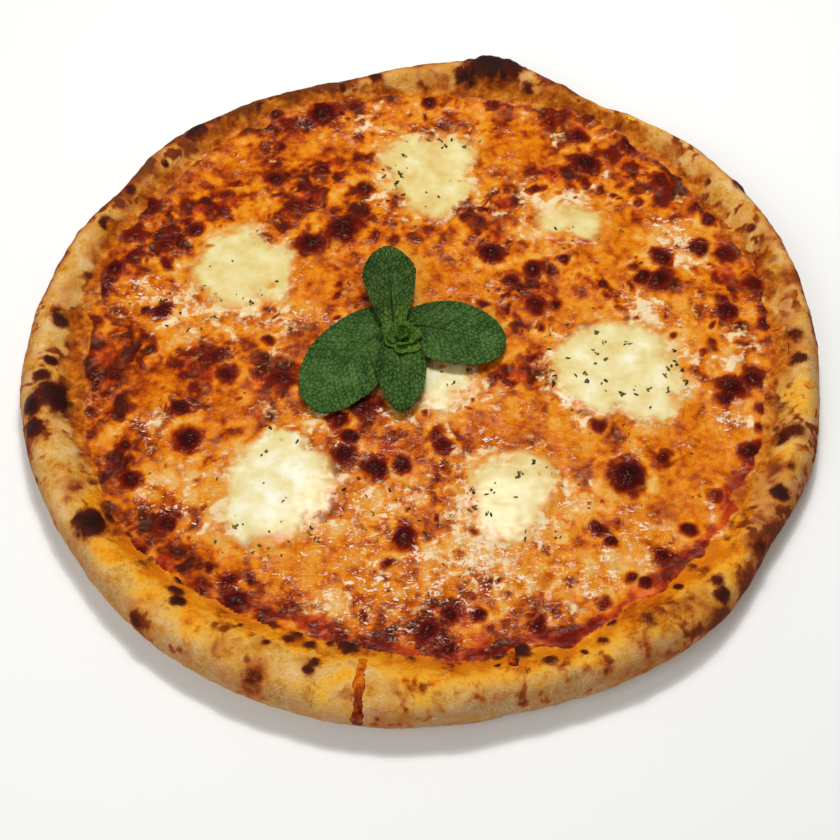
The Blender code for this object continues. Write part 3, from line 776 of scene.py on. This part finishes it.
def make_dough():
    """The crust: the CAD's shape made smooth, then lumpy, blistered and burnt in places."""
    piece = merged_copy("crust", "dough")
    smoother = piece.modifiers.new("smooth", "SUBSURF")
    smoother.levels = smoother.render_levels = 2
    bpy.ops.object.modifier_apply(modifier="smooth")
    subdivide_round(piece, RIM_STEP)

    points = points_of(piece)
    x, y, z = points.T
    radius = np.hypot(x, y)
    from_edge = dough_outline(x, y) - radius
    to_cheese = radius - cheese_outline(x, y)
    on_rim = smooth(-6, 0, to_cheese) * smooth(0.2, 5.0, z)

    lift = DOUGH_LUMP[1] * noise(points, DOUGH_LUMP[0], 3)
    lift += DOUGH_PUFF[1] * layered(points, DOUGH_PUFF[0], 5)
    lift += DOUGH_GRAIN[1] * layered(points, DOUGH_GRAIN[0], 8, 2)
    rng = np.random.default_rng(21)
    places = list(RIM_BLISTERS)
    for _ in range(RIM_BLISTERS_LOOSE):
        size = rng.uniform(1.6, 4.5)
        places.append((rng.uniform(0, 360), rng.uniform(3, 26), size, 0.16 * size))
    tree = surface_tree([piece])
    for direction, inwards, size, height in places:
        angle = math.radians(direction)
        out = dough_outline(math.cos(angle), math.sin(angle)) - inwards
        top, _ = straight_below(tree, out * math.cos(angle), out * math.sin(angle))
        if top is None:
            continue
        away = np.linalg.norm(points - np.array(top), axis=1)
        lift += height * dome(away, size)
    lift = np.clip(lift, -1.5, 2.2) * on_rim
    sag = SLOPE_SAG * smooth(0.5, 5.0, to_cheese) * smooth(15.0, 6.0, to_cheese) * smooth(9, 11, z)

    burnt = np.zeros(len(points))
    uneven = 0.3 * noise(points, 3.4, 40) + 0.15 * noise(points, 1.7, 41)
    for place_x, place_y, size, depth in RIM_CHAR:
        top, _ = straight_below(tree, place_x, place_y)
        if top is None:
            top = tree.find_nearest(Vector((place_x, place_y, 12)))[0]
        away = np.linalg.norm(points - np.array(top), axis=1) / size + uneven
        burnt = np.maximum(burnt, depth * smooth(1.8, 0.1, away))
        lift += 0.16 * size * smooth(1.3, 0.2, away) * on_rim
    for _ in range(FRINGE_BLISTERS):
        angle = rng.uniform(0, 2 * math.pi)
        out = cheese_outline(math.cos(angle), math.sin(angle)) + rng.uniform(-1, 9)
        size = 1.4 + 3.0 * rng.uniform() ** 2
        away = np.hypot(x - out * math.cos(angle), y - out * math.sin(angle)) / size + uneven
        burnt = np.maximum(burnt, rng.uniform(0.3, 0.85) * smooth(1.7, 0.2, away))
        lift += 0.2 * size * smooth(1.3, 0.2, away) * on_rim
    toasted = np.zeros(len(points))
    for place_x, place_y, size, depth in RIM_TOAST:
        away = np.hypot(x - place_x, y - place_y) / size + uneven
        toasted = np.maximum(toasted, depth * smooth(1.4, 0.0, away))

    points = points + normals_of(piece) * lift[:, None]
    points[:, 2] -= sag
    over = np.maximum(points[:, 2] - RIM_SOFT_TOP, 0)
    points[:, 2] -= over - RIM_TOP_SPAN * np.tanh(over / RIM_TOP_SPAN)
    move_points(piece, points)

    # How toasted, oily and floury each point is, with painted shade in the toast along the outer edge
    past_sauce = -inside_lap(points)
    front = arc(x, y, *FRONT_ARC)
    spots = smooth(0.12, 0.45, layered(points, 5.0, 61)) * smooth(-0.3, 0.3, noise(points, 18.0, 65))
    back = arc(x, y, *BACK_ARC)
    toast = 0.24 + 0.3 * layered(points, 11.0, 60) + 0.58 * toasted
    toast = toast + (0.6 - 0.25 * front) * spots * smooth(7, 12, z)
    toast = toast + 0.16 * smooth(13, 2, past_sauce) * (1 - 0.8 * front)
    toast = toast + 0.5 * back * smooth(9, 1, from_edge)
    fringe = smooth(8 + 6 * noise(points, 9.0, 69) + 3.0 * noise(points, 3.5, 70), 0.5, past_sauce)
    fringe = fringe * (1 - 0.85 * front)
    # Painted shade: a darker toasted band along the outer edge, a little up its side, stands for the shade
    # at the rim's silhouette
    toast = toast + 0.22 * smooth(7, 1, from_edge) * smooth(4, 9, z) - 0.25 * smooth(8, 2, z)
    reach = 1 + 18 * front + (3 + 3 * front) * noise(points, 26.0, 62) + 3.0 * noise(points, 7.0, 66)
    oil = smooth(1.2, 0.1, past_sauce / np.maximum(reach, 2)) * smooth(6, 10, z) * (0.7 + 0.3 * front)
    oil = np.maximum(oil, 0.5 * smooth(0.1, 0.6, noise(points, 18.0, 67)) * smooth(9, 14, z))
    flour = 0.95 * smooth(16, 7, z + 3.0 * noise(points, 16.0, 63) + 1.2 * noise(points, 5.0, 68))
    flour = np.maximum(flour, 0.7 * smooth(10, 1, from_edge + 3.5 * noise(points, 16.0, 64)))
    flour = flour * smooth(6, 14, past_sauce) * (1 - 0.7 * back * smooth(6, 9, z))
    # The flat underside lay on the floor of the oven: evenly baked, dusted with flour
    shown = smooth(1.5, 4.0, z)
    toast = toast * shown + 0.5 * (1 - shown)
    flour = flour * shown + 0.45 * (1 - shown)
    store(piece, char=burnt * shown, toast=toast, oil=oil, flour=flour, fringe=fringe * shown)
    finish_piece(piece, baked_dough(), "baked_dough", "crust")
    return piece


# ---------------------------------------------------------------- sauce, cheese and mozzarella


def flat_grid(name, middle, reach, step, keep):
    """A flat grid of small squares round a middle, without the points that keep turns down."""
    count = int(2 * reach / step)
    piece = sheet(count, count, 2 * reach * MM, (middle[0] * MM, middle[1] * MM))
    piece.name = name
    points = points_of(piece)
    select_points(piece, ~keep(points[:, 0], points[:, 1]))
    with editing(piece):
        bpy.ops.mesh.delete(type="VERT")
    return piece


def closed_below(piece, drop):
    """Gives a sheet a wall down from its edge and a flat floor; returns which points are its top's."""
    on_top = len(piece.data.vertices)
    with editing(piece, "SELECT"):
        bpy.ops.mesh.select_mode(type="EDGE")
        bpy.ops.mesh.region_to_loop()
        bpy.ops.mesh.extrude_edges_move(TRANSFORM_OT_translate={"value": (0, 0, -drop * MM)})
        bpy.ops.mesh.edge_face_add()
        bpy.ops.mesh.select_mode(type="VERT")
        bpy.ops.mesh.select_all(action="SELECT")
        bpy.ops.mesh.normals_make_consistent(inside=False)
    return np.arange(len(piece.data.vertices)) < on_top


def patches(x, y, places):
    """1 inside round patches with soft edges, 0 outside."""
    total = np.zeros(len(x))
    for place_x, place_y, size in places:
        total = np.maximum(total, smooth(1.3, 0.3, np.hypot(x - place_x, y - place_y) / size))
    return total


def pool_edges():
    """For each mozzarella node: its middle, its outline round that, and how far it reaches."""
    found = {}
    for name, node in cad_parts.items():
        if name.startswith("mozzarella"):
            points = points_of(node)
            middle = (points.min(0) + points.max(0))[:2] / 2
            reach = np.linalg.norm(points[:, :2] - middle, axis=1).max()
            found[name] = (middle, outline_of(points, middle, 24), reach)
    return found


POOL_EDGES = pool_edges()


def inside_pool(name, x, y):
    """How far inside a pool's edge each point lies, in mm; outside it is below 0."""
    middle, outline, _ = POOL_EDGES[name]
    away_x, away_y = x - middle[0], y - middle[1]
    return outline(away_x, away_y) - np.hypot(away_x, away_y)


def inside_pools(x, y):
    return np.max([inside_pool(name, x, y) for name in POOL_EDGES], axis=0)


def all_bubbles():
    """The listed bubbles, then many small ones in loose swarms, more near the rim, none in pools.

    Each is x, y, radius, how dark, how long for its breadth, and the direction of its length.
    """
    rng = np.random.default_rng(5)
    bubbles = [(*b, rng.uniform(1.0, 1.35), rng.uniform(0, math.pi)) for b in BUBBLES]
    tried = rng.uniform(-145, 145, (12000, 2))
    flat = np.column_stack([tried, np.zeros(len(tried))])
    radius = np.hypot(*tried.T)
    swarm = 0.35 + 0.9 * noise(flat, 20.0, 6) + 0.5 * patches(*tried.T, RED_PATCHES)
    swarm = swarm - 0.3 * patches(*tried.T, ORANGE_PATCHES) + 0.25 * (radius / 140) ** 2
    fits = (radius < cheese_outline(*tried.T) - 1) & (inside_pools(*tried.T) < -1)
    fits &= rng.uniform(0, 1, len(tried)) < swarm
    for x, y in tried[fits][:BUBBLES_LOOSE]:
        size = 0.8 + 2.4 * rng.uniform() ** 2
        bubbles.append((x, y, size, rng.uniform(0.1, 0.7), rng.uniform(1, 2.4), rng.uniform(0, math.pi)))
    return bubbles


ALL_BUBBLES = all_bubbles()


def fields(points):
    """What lies where on top: the relief in mm, and the shares that the material mixes, at each point."""
    flat = points * [1, 1, 0]
    x, y = points[:, 0], points[:, 1]
    warp = np.stack([noise(flat, 7.0, 101), noise(flat, 7.0, 102), np.zeros(len(x))], 1)
    bent = flat + 2.2 * warp
    lap = inside_lap(points)
    depth = inside_pools(x, y)
    shreds = strands(bent, 3.4, 150)
    ragged = depth + 4.2 * noise(bent, 9.0, 110) + 1.4 * noise(bent, 3.4, 112) + 0.9 * shreds - 2.0
    fade = POOL_FADE * (1 + 0.8 * np.clip(noise(flat, 22.0, 113), -0.8, 1))
    pool = smooth(-0.45, 0.55, ragged / fade)
    pool = pool * (1 - 0.9 * smooth(0.5, 0.75, noise(bent, 5.0, 114)) * smooth(11, 4, depth))
    halo = smooth(-11, 2, depth + 5.0 * noise(bent, 9.0, 111))
    milk = 0.4 * pool
    for name, tone in POOL_TONES.items():
        milk = milk + tone * smooth(-8, 3, inside_pool(name, x, y))

    orange = patches(x, y, ORANGE_PATCHES)
    white = patches(x, y, PALE_PATCHES)
    red = patches(x, y, RED_PATCHES)
    sauce = 0.44 + 0.25 * layered(bent, 16.0, 120) + 0.36 * layered(bent, 5.5, 121)
    browned = smooth(0.05, 0.42, layered(bent, 8.0, 124))
    sauce = sauce + 0.18 * red + browned * (0.14 + 0.24 * red) - 0.12 * halo - 0.14 * white
    sauce = sauce * (1 - 0.6 * orange) + 0.38 * 0.6 * orange
    front = arc(x, y, *FRONT_ARC)
    red_edge = arc(x, y, *RED_EDGE)
    edge_band = smooth(5.5 + 3 * red_edge, 1.5, lap + 3.0 * noise(flat, 8.0, 122)) * smooth(-0.4, 1.0, lap)
    sauce = sauce + (0.16 + 0.12 * red_edge) * edge_band
    bare = np.maximum(red_edge * edge_band, 0.75 * red * smooth(-0.1, 0.4, noise(bent, 11.0, 123)))
    bare = np.maximum(bare, 0.5 * smooth(0.35, 0.7, noise(bent, 13.0, 125)) * (1 - orange))
    pale = 0.24 + 0.4 * layered(bent, 6.0, 130) + 0.3 * white - 0.3 * orange - 0.14 * red
    pale = pale + 0.3 * halo + 0.4 * shreds * smooth(-0.3, 0.5, noise(flat, 17.0, 131))
    pale = pale * smooth(0.5, 5, lap) - 0.3 * red_edge * edge_band

    char = np.zeros(len(x))
    lift = np.zeros(len(x))
    skirt = np.zeros(len(x))
    ridge = np.zeros(len(x))
    wobble = 0.15 * noise(flat, 2.6, 140)
    bent_x = x + 1.3 * noise(flat, 6.0, 141) + 0.5 * noise(flat, 2.6, 142)
    bent_y = y + 1.3 * noise(flat, 6.0, 143) + 0.5 * noise(flat, 2.6, 144)
    for place_x, place_y, size, dark, aspect, heading in ALL_BUBBLES:
        near = (np.abs(x - place_x) < 2.2 * size) & (np.abs(y - place_y) < 2.2 * size)
        off_x, off_y = bent_x[near] - place_x, bent_y[near] - place_y
        along = off_x * math.cos(heading) + off_y * math.sin(heading)
        across = off_y * math.cos(heading) - off_x * math.sin(heading)
        away = np.hypot(along / aspect**0.5, across * aspect**0.5) / size + wobble[near]
        char[near] = np.maximum(char[near], dark * smooth(1.5, 0.15, away))
        skirt[near] = np.maximum(skirt[near], dark * smooth(1.9, 0.8, away))
        lift[near] = np.maximum(lift[near], 0.4 * size * smooth(1.3, 0.0, away))
        rimmed = math.sin(3.7 * place_x + 5.3 * place_y) > (0.55 if place_x < 20 else -0.4)
        ring = smooth(1.0, 1.35, away) * smooth(2.1, 1.55, away) * rimmed
        ridge[near] = np.maximum(ridge[near], ring)
        skirt[near] *= 1 - 0.8 * ring
    outside = 1 - 0.92 * pool
    char = char * outside
    sauce = sauce + 0.34 * skirt * outside - 0.16 * ridge
    pale = pale - 0.5 * skirt + 0.16 * ridge
    lift = lift + 0.35 * ridge

    # Wrinkled skin breaks the shine into flecks; between the wrinkled patches it is smooth and oily
    grit = smooth(0.0, 0.5, noise(flat, 12.0, 180) + 0.5 * noise(flat, 5.0, 181) + 0.3 * white)
    grit = np.maximum(grit, 0.8 * smooth(0.3, 0.7, char))
    lower = patches(x, y, [WRINKLED])
    grit = np.maximum(grit, 0.75 * lower * smooth(-0.6, 0.1, noise(flat, 7.0, 183)))
    grit = np.clip(0.05 + 0.95 * grit * (1 - 0.7 * red_edge * edge_band), 0, 1)

    relief = 0.5 * noise(flat, 15.0, 160) + 0.11 * layered(bent, 5.5, 161) + 0.14 * shreds
    relief = relief * (1 - 0.8 * pool) + lift * outside
    thin = smooth(1.6, 0.0, lap + 0.8 * noise(flat, 5.0, 182)) * (1 - front)
    # How many pale flecks show, partly white cheese strands and partly painted highlight glints: most in
    # the wrinkled and pale parts, none on bubbles
    glint_flecks = (0.45 + 0.8 * lower + 0.9 * white - 0.3 * red * (1 - lower)) * smooth(0.7, 0.1, char)
    shares = {"sauce": sauce, "pale": pale, "bare": bare * (1 - pool), "pool": pool, "milk": milk}
    return relief, {**shares, "char": char, "grit": grit, "glint_flecks": glint_flecks, "thin": thin}


def make_cheese(dough):
    """One sheet of sauce and cheese that fills the dish and laps unevenly up the rim's inner slope."""
    step = CHEESE_STEP
    piece = flat_grid(
        "cheese", (0, 0), SHEET_HALF, step,
        lambda x, y: np.hypot(x, y) < cheese_outline(x, y) + CHEESE_REACH,
    )
    on_top = closed_below(piece, 4.0)
    points = points_of(piece)
    x, y = points[:, 0], points[:, 1]
    relief, shares = fields(points)
    beyond = np.hypot(x, y) - cheese_outline(x, y)
    lap = inside_lap(points)

    level = np.full(len(points), EDGE_LEVEL)
    well_inside = beyond < -0.6
    top_tree = surface_tree([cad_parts["sauce_and_cheese"]])
    level[well_inside] = heights_on(top_tree, points[well_inside], EDGE_LEVEL)
    rim = np.zeros(len(points))
    near_rim = beyond > -12
    rim[near_rim] = heights_on(surface_tree([dough]), points[near_rim], 3.0)
    film = (0.15 + 0.4 * arc(x, y, *FRONT_ARC)) * smooth(0.0, 3.0, lap) - 0.9 * smooth(0.3, -1.5, lap)
    fading = smooth(3.0, -4.0, beyond)
    height = smooth_max(level + relief * fading, rim + film + 0.45 * relief * smooth(0.0, 3.0, lap))
    points[:, 2] = np.where(on_top, np.where(beyond > 4, rim + film, height), SHEET_FLOOR)
    move_points(piece, points)
    store(piece, **shares)
    finish_piece(piece, baked_cheese(), "sauce_and_cheese", "sauce_and_cheese")
    return piece


def make_pools(cheese):
    """Seven soft pools, each a low dome whose ragged edge runs out just under the cheese."""
    material = soft_mozzarella()
    tree = surface_tree([cheese])
    made = []
    base_tree = surface_tree([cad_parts["sauce_and_cheese"]])
    for name, (middle, _, reach) in POOL_EDGES.items():
        piece = flat_grid(
            name.replace("mozzarella", "pool"), middle, reach + 10, POOL_STEP,
            lambda x, y, name=name: inside_pool(name, x, y) > -9,
        )
        on_top = closed_below(piece, 2.0)
        points = points_of(piece)
        x, y = points[:, 0], points[:, 1]
        _, shares = fields(points)
        level = heights_on(tree, points, 8.0)
        base = heights_on(base_tree, points, 8.0)
        flat = points * [1, 1, 0]
        inside = 3.0 + inside_pool(name, x, y) + 2.2 * layered(flat, 7.0, 190) + 0.6 * noise(flat, 2.2, 191)
        swell = POOL_SWELL * (1 - np.exp(-np.clip(inside, 0, None) / 7)) + 0.2 * noise(flat, 9.0, 192)
        sunk = level - 1.0
        share = smooth(-4.0, 4.0, inside)
        height = sunk * (1 - share) + smooth_max(base + swell, level + 0.1) * share
        points[:, 2] = np.where(on_top, height, height - 1.5)
        move_points(piece, points)
        store(piece, **shares)
        finish_piece(piece, material, "mozzarella", name)
        made.append(piece)
    return made


def make_drips(dough):
    """Narrow runs of sauce that boiled over the rim and baked on: beaded, dark at their lower ends."""
    tree = surface_tree([dough])
    rng = np.random.default_rng(31)
    made = []
    for k, (breadth, *stations) in enumerate(DRIPS):
        piece = sheet(DRIP_ROWS, DRIP_COLUMNS, 2)
        thicken(piece, 0.2, 0)
        grid = points_of(piece) * MM
        along, side = (np.clip(grid[:, 0], -1, 1) + 1) / 2, np.clip(grid[:, 1], -1, 1)
        under = grid[:, 2] < 0
        knots = np.linspace(0, 1, len(stations))
        x, y, z = (np.interp(along, knots, column) for column in np.array(stations, float).T)
        ahead = np.stack([
            np.interp(along + 0.02, knots, column) - np.interp(along - 0.02, knots, column)
            for column in np.array(stations).T
        ], 1)
        ahead /= np.linalg.norm(ahead, axis=1)[:, None]
        out = np.stack([x, y, np.zeros(len(x))], 1) / np.hypot(x, y)[:, None]
        out = out * 0.7 + [0, 0, 0.7]
        across = np.cross(ahead, out)
        across /= np.linalg.norm(across, axis=1)[:, None]
        line = np.stack([along * 40, np.full(len(x), 7.0 * k), np.zeros(len(x))], 1)
        ends = smooth(0.0, 0.1, along) * smooth(1.0, 0.9, along)
        half = breadth / 2 * (0.75 + 0.35 * along + 0.25 * noise(line, 3.0, 311)) * (0.25 + 0.75 * ends)
        middle = np.stack([x, y, z], 1) + across * (0.8 * noise(line, 9.0, 312))[:, None]
        target = middle + across * (side * half)[:, None]
        bead = 0.8 + 0.2 * np.sin(along * len(stations) * 7 + rng.uniform(0, 6))
        bead = bead + 0.35 * noise(target, 1.8, 313)
        height = 0.42 * bead * (1 - side**2) * ends - 0.12 * side**2 - 0.05
        placed = []
        for point, off in zip(target, np.where(under, -0.4, height)):
            near, normal, _, _ = tree.find_nearest(Vector(point))
            placed.append(near + normal * float(off))
        placed = np.array(placed)
        move_points(piece, placed)
        dark = 0.8 * along - 0.15 + 0.45 * noise(placed, 2.0, 314)
        zero = np.zeros(len(x))
        store(piece, sauce=0.36 + 0.3 * along, pale=zero, pool=zero, milk=zero, thin=zero, char=dark)
        store(piece, grit=zero + 0.3)
        made.append(piece)
    drips = joined(made, "sauce_drips")
    finish_piece(drips, bpy.data.materials["baked_cheese_and_tomato_sauce"], "sauce_and_cheese")
    return drips


# ---------------------------------------------------------------- the mint sprig


def leaf_points(u, v, leaf):
    """A leaf's upper side before it is turned: u runs from foot to tip and v from side to side."""
    along = 0.5 - 0.5 * np.cos(math.pi * u)
    early = np.clip(along / leaf["widest"], 0, 1)
    late = np.clip((along - leaf["widest"]) / (1 - leaf["widest"]), 0, 1)
    grown = leaf["stalk"] + (1 - leaf["stalk"]) * (1 - (1 - early) ** leaf["full"]) ** (1 / leaf["full"])
    half = 0.5 * leaf["width"] * grown * (1 - late ** leaf["blunt"]) ** (1 / leaf["blunt"])
    teeth = leaf["length"] / TOOTH_SPACING
    tooth = np.abs((along * teeth + 0.35 * np.abs(v)) % 1 - 0.35)
    saw = 1 + 0.05 * (0.5 - tooth) * np.abs(v) ** 5 * smooth(0.12, 0.3, along)
    rise = np.sin(math.pi * along)
    x = along * leaf["length"]
    y = v * half * saw
    z = leaf["foot"] + (leaf["tip"] - leaf["foot"]) * along**2
    z = z + (leaf["arch"] - leaf["bend"] * v * v) * rise
    return np.stack([x, y, z], 1), along, half, leaf["bow"] * rise


def leaf_relief(points, along, seed, cell):
    """The quilting of a leaf: puffs between sunken veins, in mm, how puffed and how much midrib."""
    across = np.abs(points[:, 1])
    bent = points * [1, 1, 0] + 0.3 * np.stack([noise(points, 2.2, seed + k) for k in (5, 6, 7)], 1)
    out = np.abs(bent[:, 1])
    drawn = np.stack([bent[:, 0] * 0.85 - out * 0.25, bent[:, 1], bent[:, 1] * 0], 1)
    cells = smooth(0.0, 0.3, cracks(drawn, cell * 1.1, seed + 1))
    fine = smooth(0.0, 0.5, cracks(drawn + 50, cell * 0.55, seed + 2))
    vein_place = bent[:, 0] - out * (VEIN_SLANT - 0.012 * out)
    spacing = VEIN_SPACING * cell / QUILT_CELL
    off_vein = np.abs((vein_place / spacing) % 1 - 0.5) * spacing
    ribs = smooth(0.6, 0.1, off_vein) * smooth(0.3, 1.5, across)
    midrib = smooth(0.6, 0.2, across) * smooth(0.85, 0.25, along)
    puff = np.clip((0.65 * cells + 0.35 * fine) * (1 - 0.5 * ribs) * (1 - midrib), 0, 1)
    lift = 0.6 * puff + 0.6 * noise(bent, 7.0, seed + 3) - 0.2 * midrib
    lined = np.maximum(midrib, 0.7 * ribs * smooth(0.75, 0.2, along))
    return lift, puff + 0.25 * noise(bent, 10.0, seed + 4), lined


def make_leaf(name, leaf, seed, young=0.0, curl=0.0, rows=170, columns=96, cell=QUILT_CELL):
    """One leaf, quilted and toothed, with its place in its mesh."""
    piece = sheet(rows, columns, 2)
    piece.name = name
    grid = points_of(piece) * MM
    points, along, half, bowed = leaf_points((grid[:, 0] + 1) / 2, grid[:, 1], leaf)
    lift, puff, vein = leaf_relief(points, along, seed, cell)
    points[:, 1] += bowed
    scale = cell / QUILT_CELL
    points[:, 2] += lift * scale * smooth(0.0, 0.3, half / (0.5 * leaf["width"]))
    points[:, 2] += 0.05 * half * (np.abs(grid[:, 1]) ** 1.5 - 0.3)
    if curl:
        turn = curl * along**1.3
        lean = points[:, 0].copy()
        points[:, 0] = lean * np.cos(turn)
        points[:, 2] += lean * np.sin(turn)
    turned = math.radians(leaf["heading"])
    x = points[:, 0] * math.cos(turned) - points[:, 1] * math.sin(turned) + leaf["x"]
    y = points[:, 0] * math.sin(turned) + points[:, 1] * math.cos(turned) + leaf["y"]
    move_points(piece, np.stack([x, y, points[:, 2]], 1))
    at_foot = (0.35 + 0.6 * leaf["deep"]) * smooth(0.4, 0.0, along) * smooth(9, 2, np.abs(points[:, 1]))
    # Painted shade: darker towards the foot and along the edges, more on leaves given more, with random
    # tone on top
    shaded = 0.6 * smooth(0.45, 0.15, along) + 0.4 * smooth(0.7, 1.0, np.abs(grid[:, 1]))
    deep = np.clip(leaf["deep"] + shaded + 0.5 * noise(points, 11.0, seed + 8), 0, 1)
    store(piece, puff=puff, vein=vein, young=np.maximum(young, at_foot), deep=deep)
    with editing(piece, "SELECT"):
        bpy.ops.mesh.remove_doubles(threshold=0.005 * MM)
        bpy.ops.mesh.normals_make_consistent(inside=False)
    if normals_of(piece)[:, 2].mean() < 0:
        piece.data.flip_normals()
    thicken(piece, LEAF_THICKNESS * MM * max(scale, 0.6))
    return piece


def joined(pieces, name):
    """These pieces as one mesh under a new name."""
    bpy.ops.object.select_all(action="DESELECT")
    for piece in pieces:
        piece.select_set(True)
    bpy.context.view_layer.objects.active = pieces[0]
    bpy.ops.object.join()
    pieces[0].name = name
    return pieces[0]


def make_sprig():
    """Four leaves, and the heart: rings of young leaves on a short stalk, in one mesh."""
    material = mint_leaf()
    for seed, (node, numbers) in enumerate(LEAVES.items()):
        leaf = dict(zip(LEAF_KEYS, numbers))
        piece = make_leaf(node.replace("mint_leaf", "leaf"), leaf, 200 + 10 * seed)
        finish_piece(piece, material, "mint_leaf", node)
    young = []
    rng = np.random.default_rng(290)
    for ring, (count, length, curl, foot) in enumerate(HEART_RINGS):
        for k in range(count):
            heading = 360 * (k + 0.5 * (ring % 2)) / count + rng.uniform(-12, 12) + 20
            long = length * rng.uniform(0.85, 1.1)
            low = foot + rng.uniform(-0.25, 0.25)
            leaf = dict(zip(LEAF_KEYS, (
                *HEART, heading, long, 0.8 * long, 0.58, 1.8, 0.3, 2.0, low, 0.5, low + 0.2, 0.5,
                rng.uniform(-0.8, 0.8), 0.0,
            )))
            bend = curl * rng.uniform(0.8, 1.2)
            young.append(make_leaf(f"young_{ring}_{k}", leaf, 300 + 10 * ring + k, 0.6, bend, 34, 22, 0.95))
    bpy.ops.object.select_all(action="DESELECT")
    bpy.ops.mesh.primitive_cylinder_add(
        vertices=20, radius=STALK_RADIUS * MM, depth=STALK_LENGTH * MM,
        location=(SPRIG[0] * MM, SPRIG[1] * MM, STALK_MIDDLE * MM),
    )
    stalk = bpy.context.object
    bpy.ops.object.transform_apply(location=True, rotation=False, scale=False)
    even = np.ones(len(stalk.data.vertices))
    store(stalk, puff=0.5 * even, vein=0 * even, young=0.8 * even, deep=0 * even)
    heart = joined([*young, stalk], "heart")
    finish_piece(heart, material, "mint_leaf", "mint_heart")


# ---------------------------------------------------------------- dried herbs


def make_herbs(under):
    """Every flake of oregano, laid on what is under it, in one mesh."""
    tree = surface_tree(under)
    rng = np.random.default_rng(77)
    places = []
    for x, y in HERB_FLAKES:
        places += [(x + rng.normal() * 0.6, y + rng.normal() * 0.6, 1.0) for _ in range(rng.integers(1, 4))]
    for x, y, count, spread in HERB_CLUSTERS:
        for _ in range(count):
            places.append((x + rng.normal() * spread, y + rng.normal() * spread, rng.uniform(0.4, 1.0)))
    while len(places) < HERB_COUNT:
        x, y = rng.uniform(-130, 130, 2)
        if np.hypot(x, y) < 128:
            places.append((x, y, rng.uniform(0.25, 0.7)))
    flake = sheet(4, 3, 1)
    thicken(flake, FLAKE_THICKNESS)
    base = points_of(flake) * MM
    round_off = 1 - 0.45 * (2 * base[:, 0]) ** 2
    copies = []
    for x, y, size in places:
        hit, normal = straight_below(tree, x, y)
        if hit is None:
            continue
        long, broad = size * rng.uniform(1.0, 2.4), size * rng.uniform(0.6, 1.2)
        shape = base * [long, broad, 1.0]
        shape[:, 1] *= round_off
        ruffle = shape * [1, 1, 0] + rng.uniform(0, 100, 3)
        ruffles = [noise(ruffle, cell, seed) for cell, seed in ((0.7, 301), (0.7, 302), (0.9, 303))]
        shape += 0.3 * np.stack(ruffles, 1)
        shape[:, 2] += 0.5 * rng.uniform(-0.3, 1) * (shape[:, 0] / long) ** 2 * long
        turn = Matrix.Rotation(rng.uniform(0, 2 * math.pi), 3, "Z")
        tilt = Vector((0, 0, 1)).rotation_difference(normal.lerp(Vector((0, 0, 1)), 0.5)).to_matrix()
        placed = shape @ np.array(tilt @ turn).T + np.array(hit) + [0, 0, FLAKE_RAISE]
        copy = flake.copy()
        copy.data = flake.data.copy()
        bpy.context.scene.collection.objects.link(copy)
        move_points(copy, placed)
        store(copy, tone=np.full(len(placed), rng.uniform(0, 1)))
        copies.append(copy)
    bpy.data.objects.remove(flake)
    herbs = joined(copies, "oregano")
    finish_piece(herbs, dried_oregano(), "mint_leaf")
    return herbs


# ---------------------------------------------------------------- studio


def make_studio():
    """A pale floor, a soft light from behind, gentle fill and the camera."""
    bpy.ops.object.select_all(action="DESELECT")
    bpy.ops.mesh.primitive_plane_add(size=6, location=(0, 0, -0.0003))
    floor = bpy.context.object
    floor.name = "studio_floor"
    material, tree = new_material("matt_white_paint")
    (grain,) = speckles(tree, (2.0, 3.0, 0.55))
    finish_material(tree, linear("#F7F7F4"), 0.9, grain, 0.001)
    floor.data.materials.append(material)

    world = bpy.data.worlds.new("studio")
    bpy.context.scene.world = world
    world.use_nodes = True
    sky = world.node_tree.nodes["Background"].inputs
    sky["Color"].default_value = linear("#FFFFFF")
    sky["Strength"].default_value = AMBIENT

    for name, (place, size, depth, power) in LIGHTS.items():
        light = bpy.data.lights.new(name, "AREA")
        light.shape = "RECTANGLE"
        light.size = size
        light.size_y = depth
        light.energy = power
        lamp = bpy.data.objects.new(name, light)
        bpy.context.scene.collection.objects.link(lamp)
        lamp.location = place
        lamp.rotation_euler = (Vector(LIGHTS_AIM) - Vector(place)).to_track_quat("-Z", "Y").to_euler()

    camera = bpy.data.cameras.new("camera")
    camera.lens = LENS
    camera.sensor_width = SENSOR
    view = bpy.data.objects.new("camera", camera)
    bpy.context.scene.collection.objects.link(view)
    elevation = math.radians(CAMERA_ELEVATION)
    back, up = CAMERA_DISTANCE * math.cos(elevation), CAMERA_DISTANCE * math.sin(elevation)
    view.location = (CAMERA_SHIFT[0], -back + CAMERA_SHIFT[1], up)
    view.rotation_euler = (Vector(CAMERA_AIM) - view.location).to_track_quat("-Z", "Y").to_euler()
    bpy.context.scene.camera = view
    bpy.context.scene.view_settings.view_transform = "Standard"


# ---------------------------------------------------------------- the pizza

dough = make_dough()
cheese = make_cheese(dough)
pools = make_pools(cheese)
make_drips(dough)
make_sprig()
make_herbs([cheese, *pools])
make_studio()
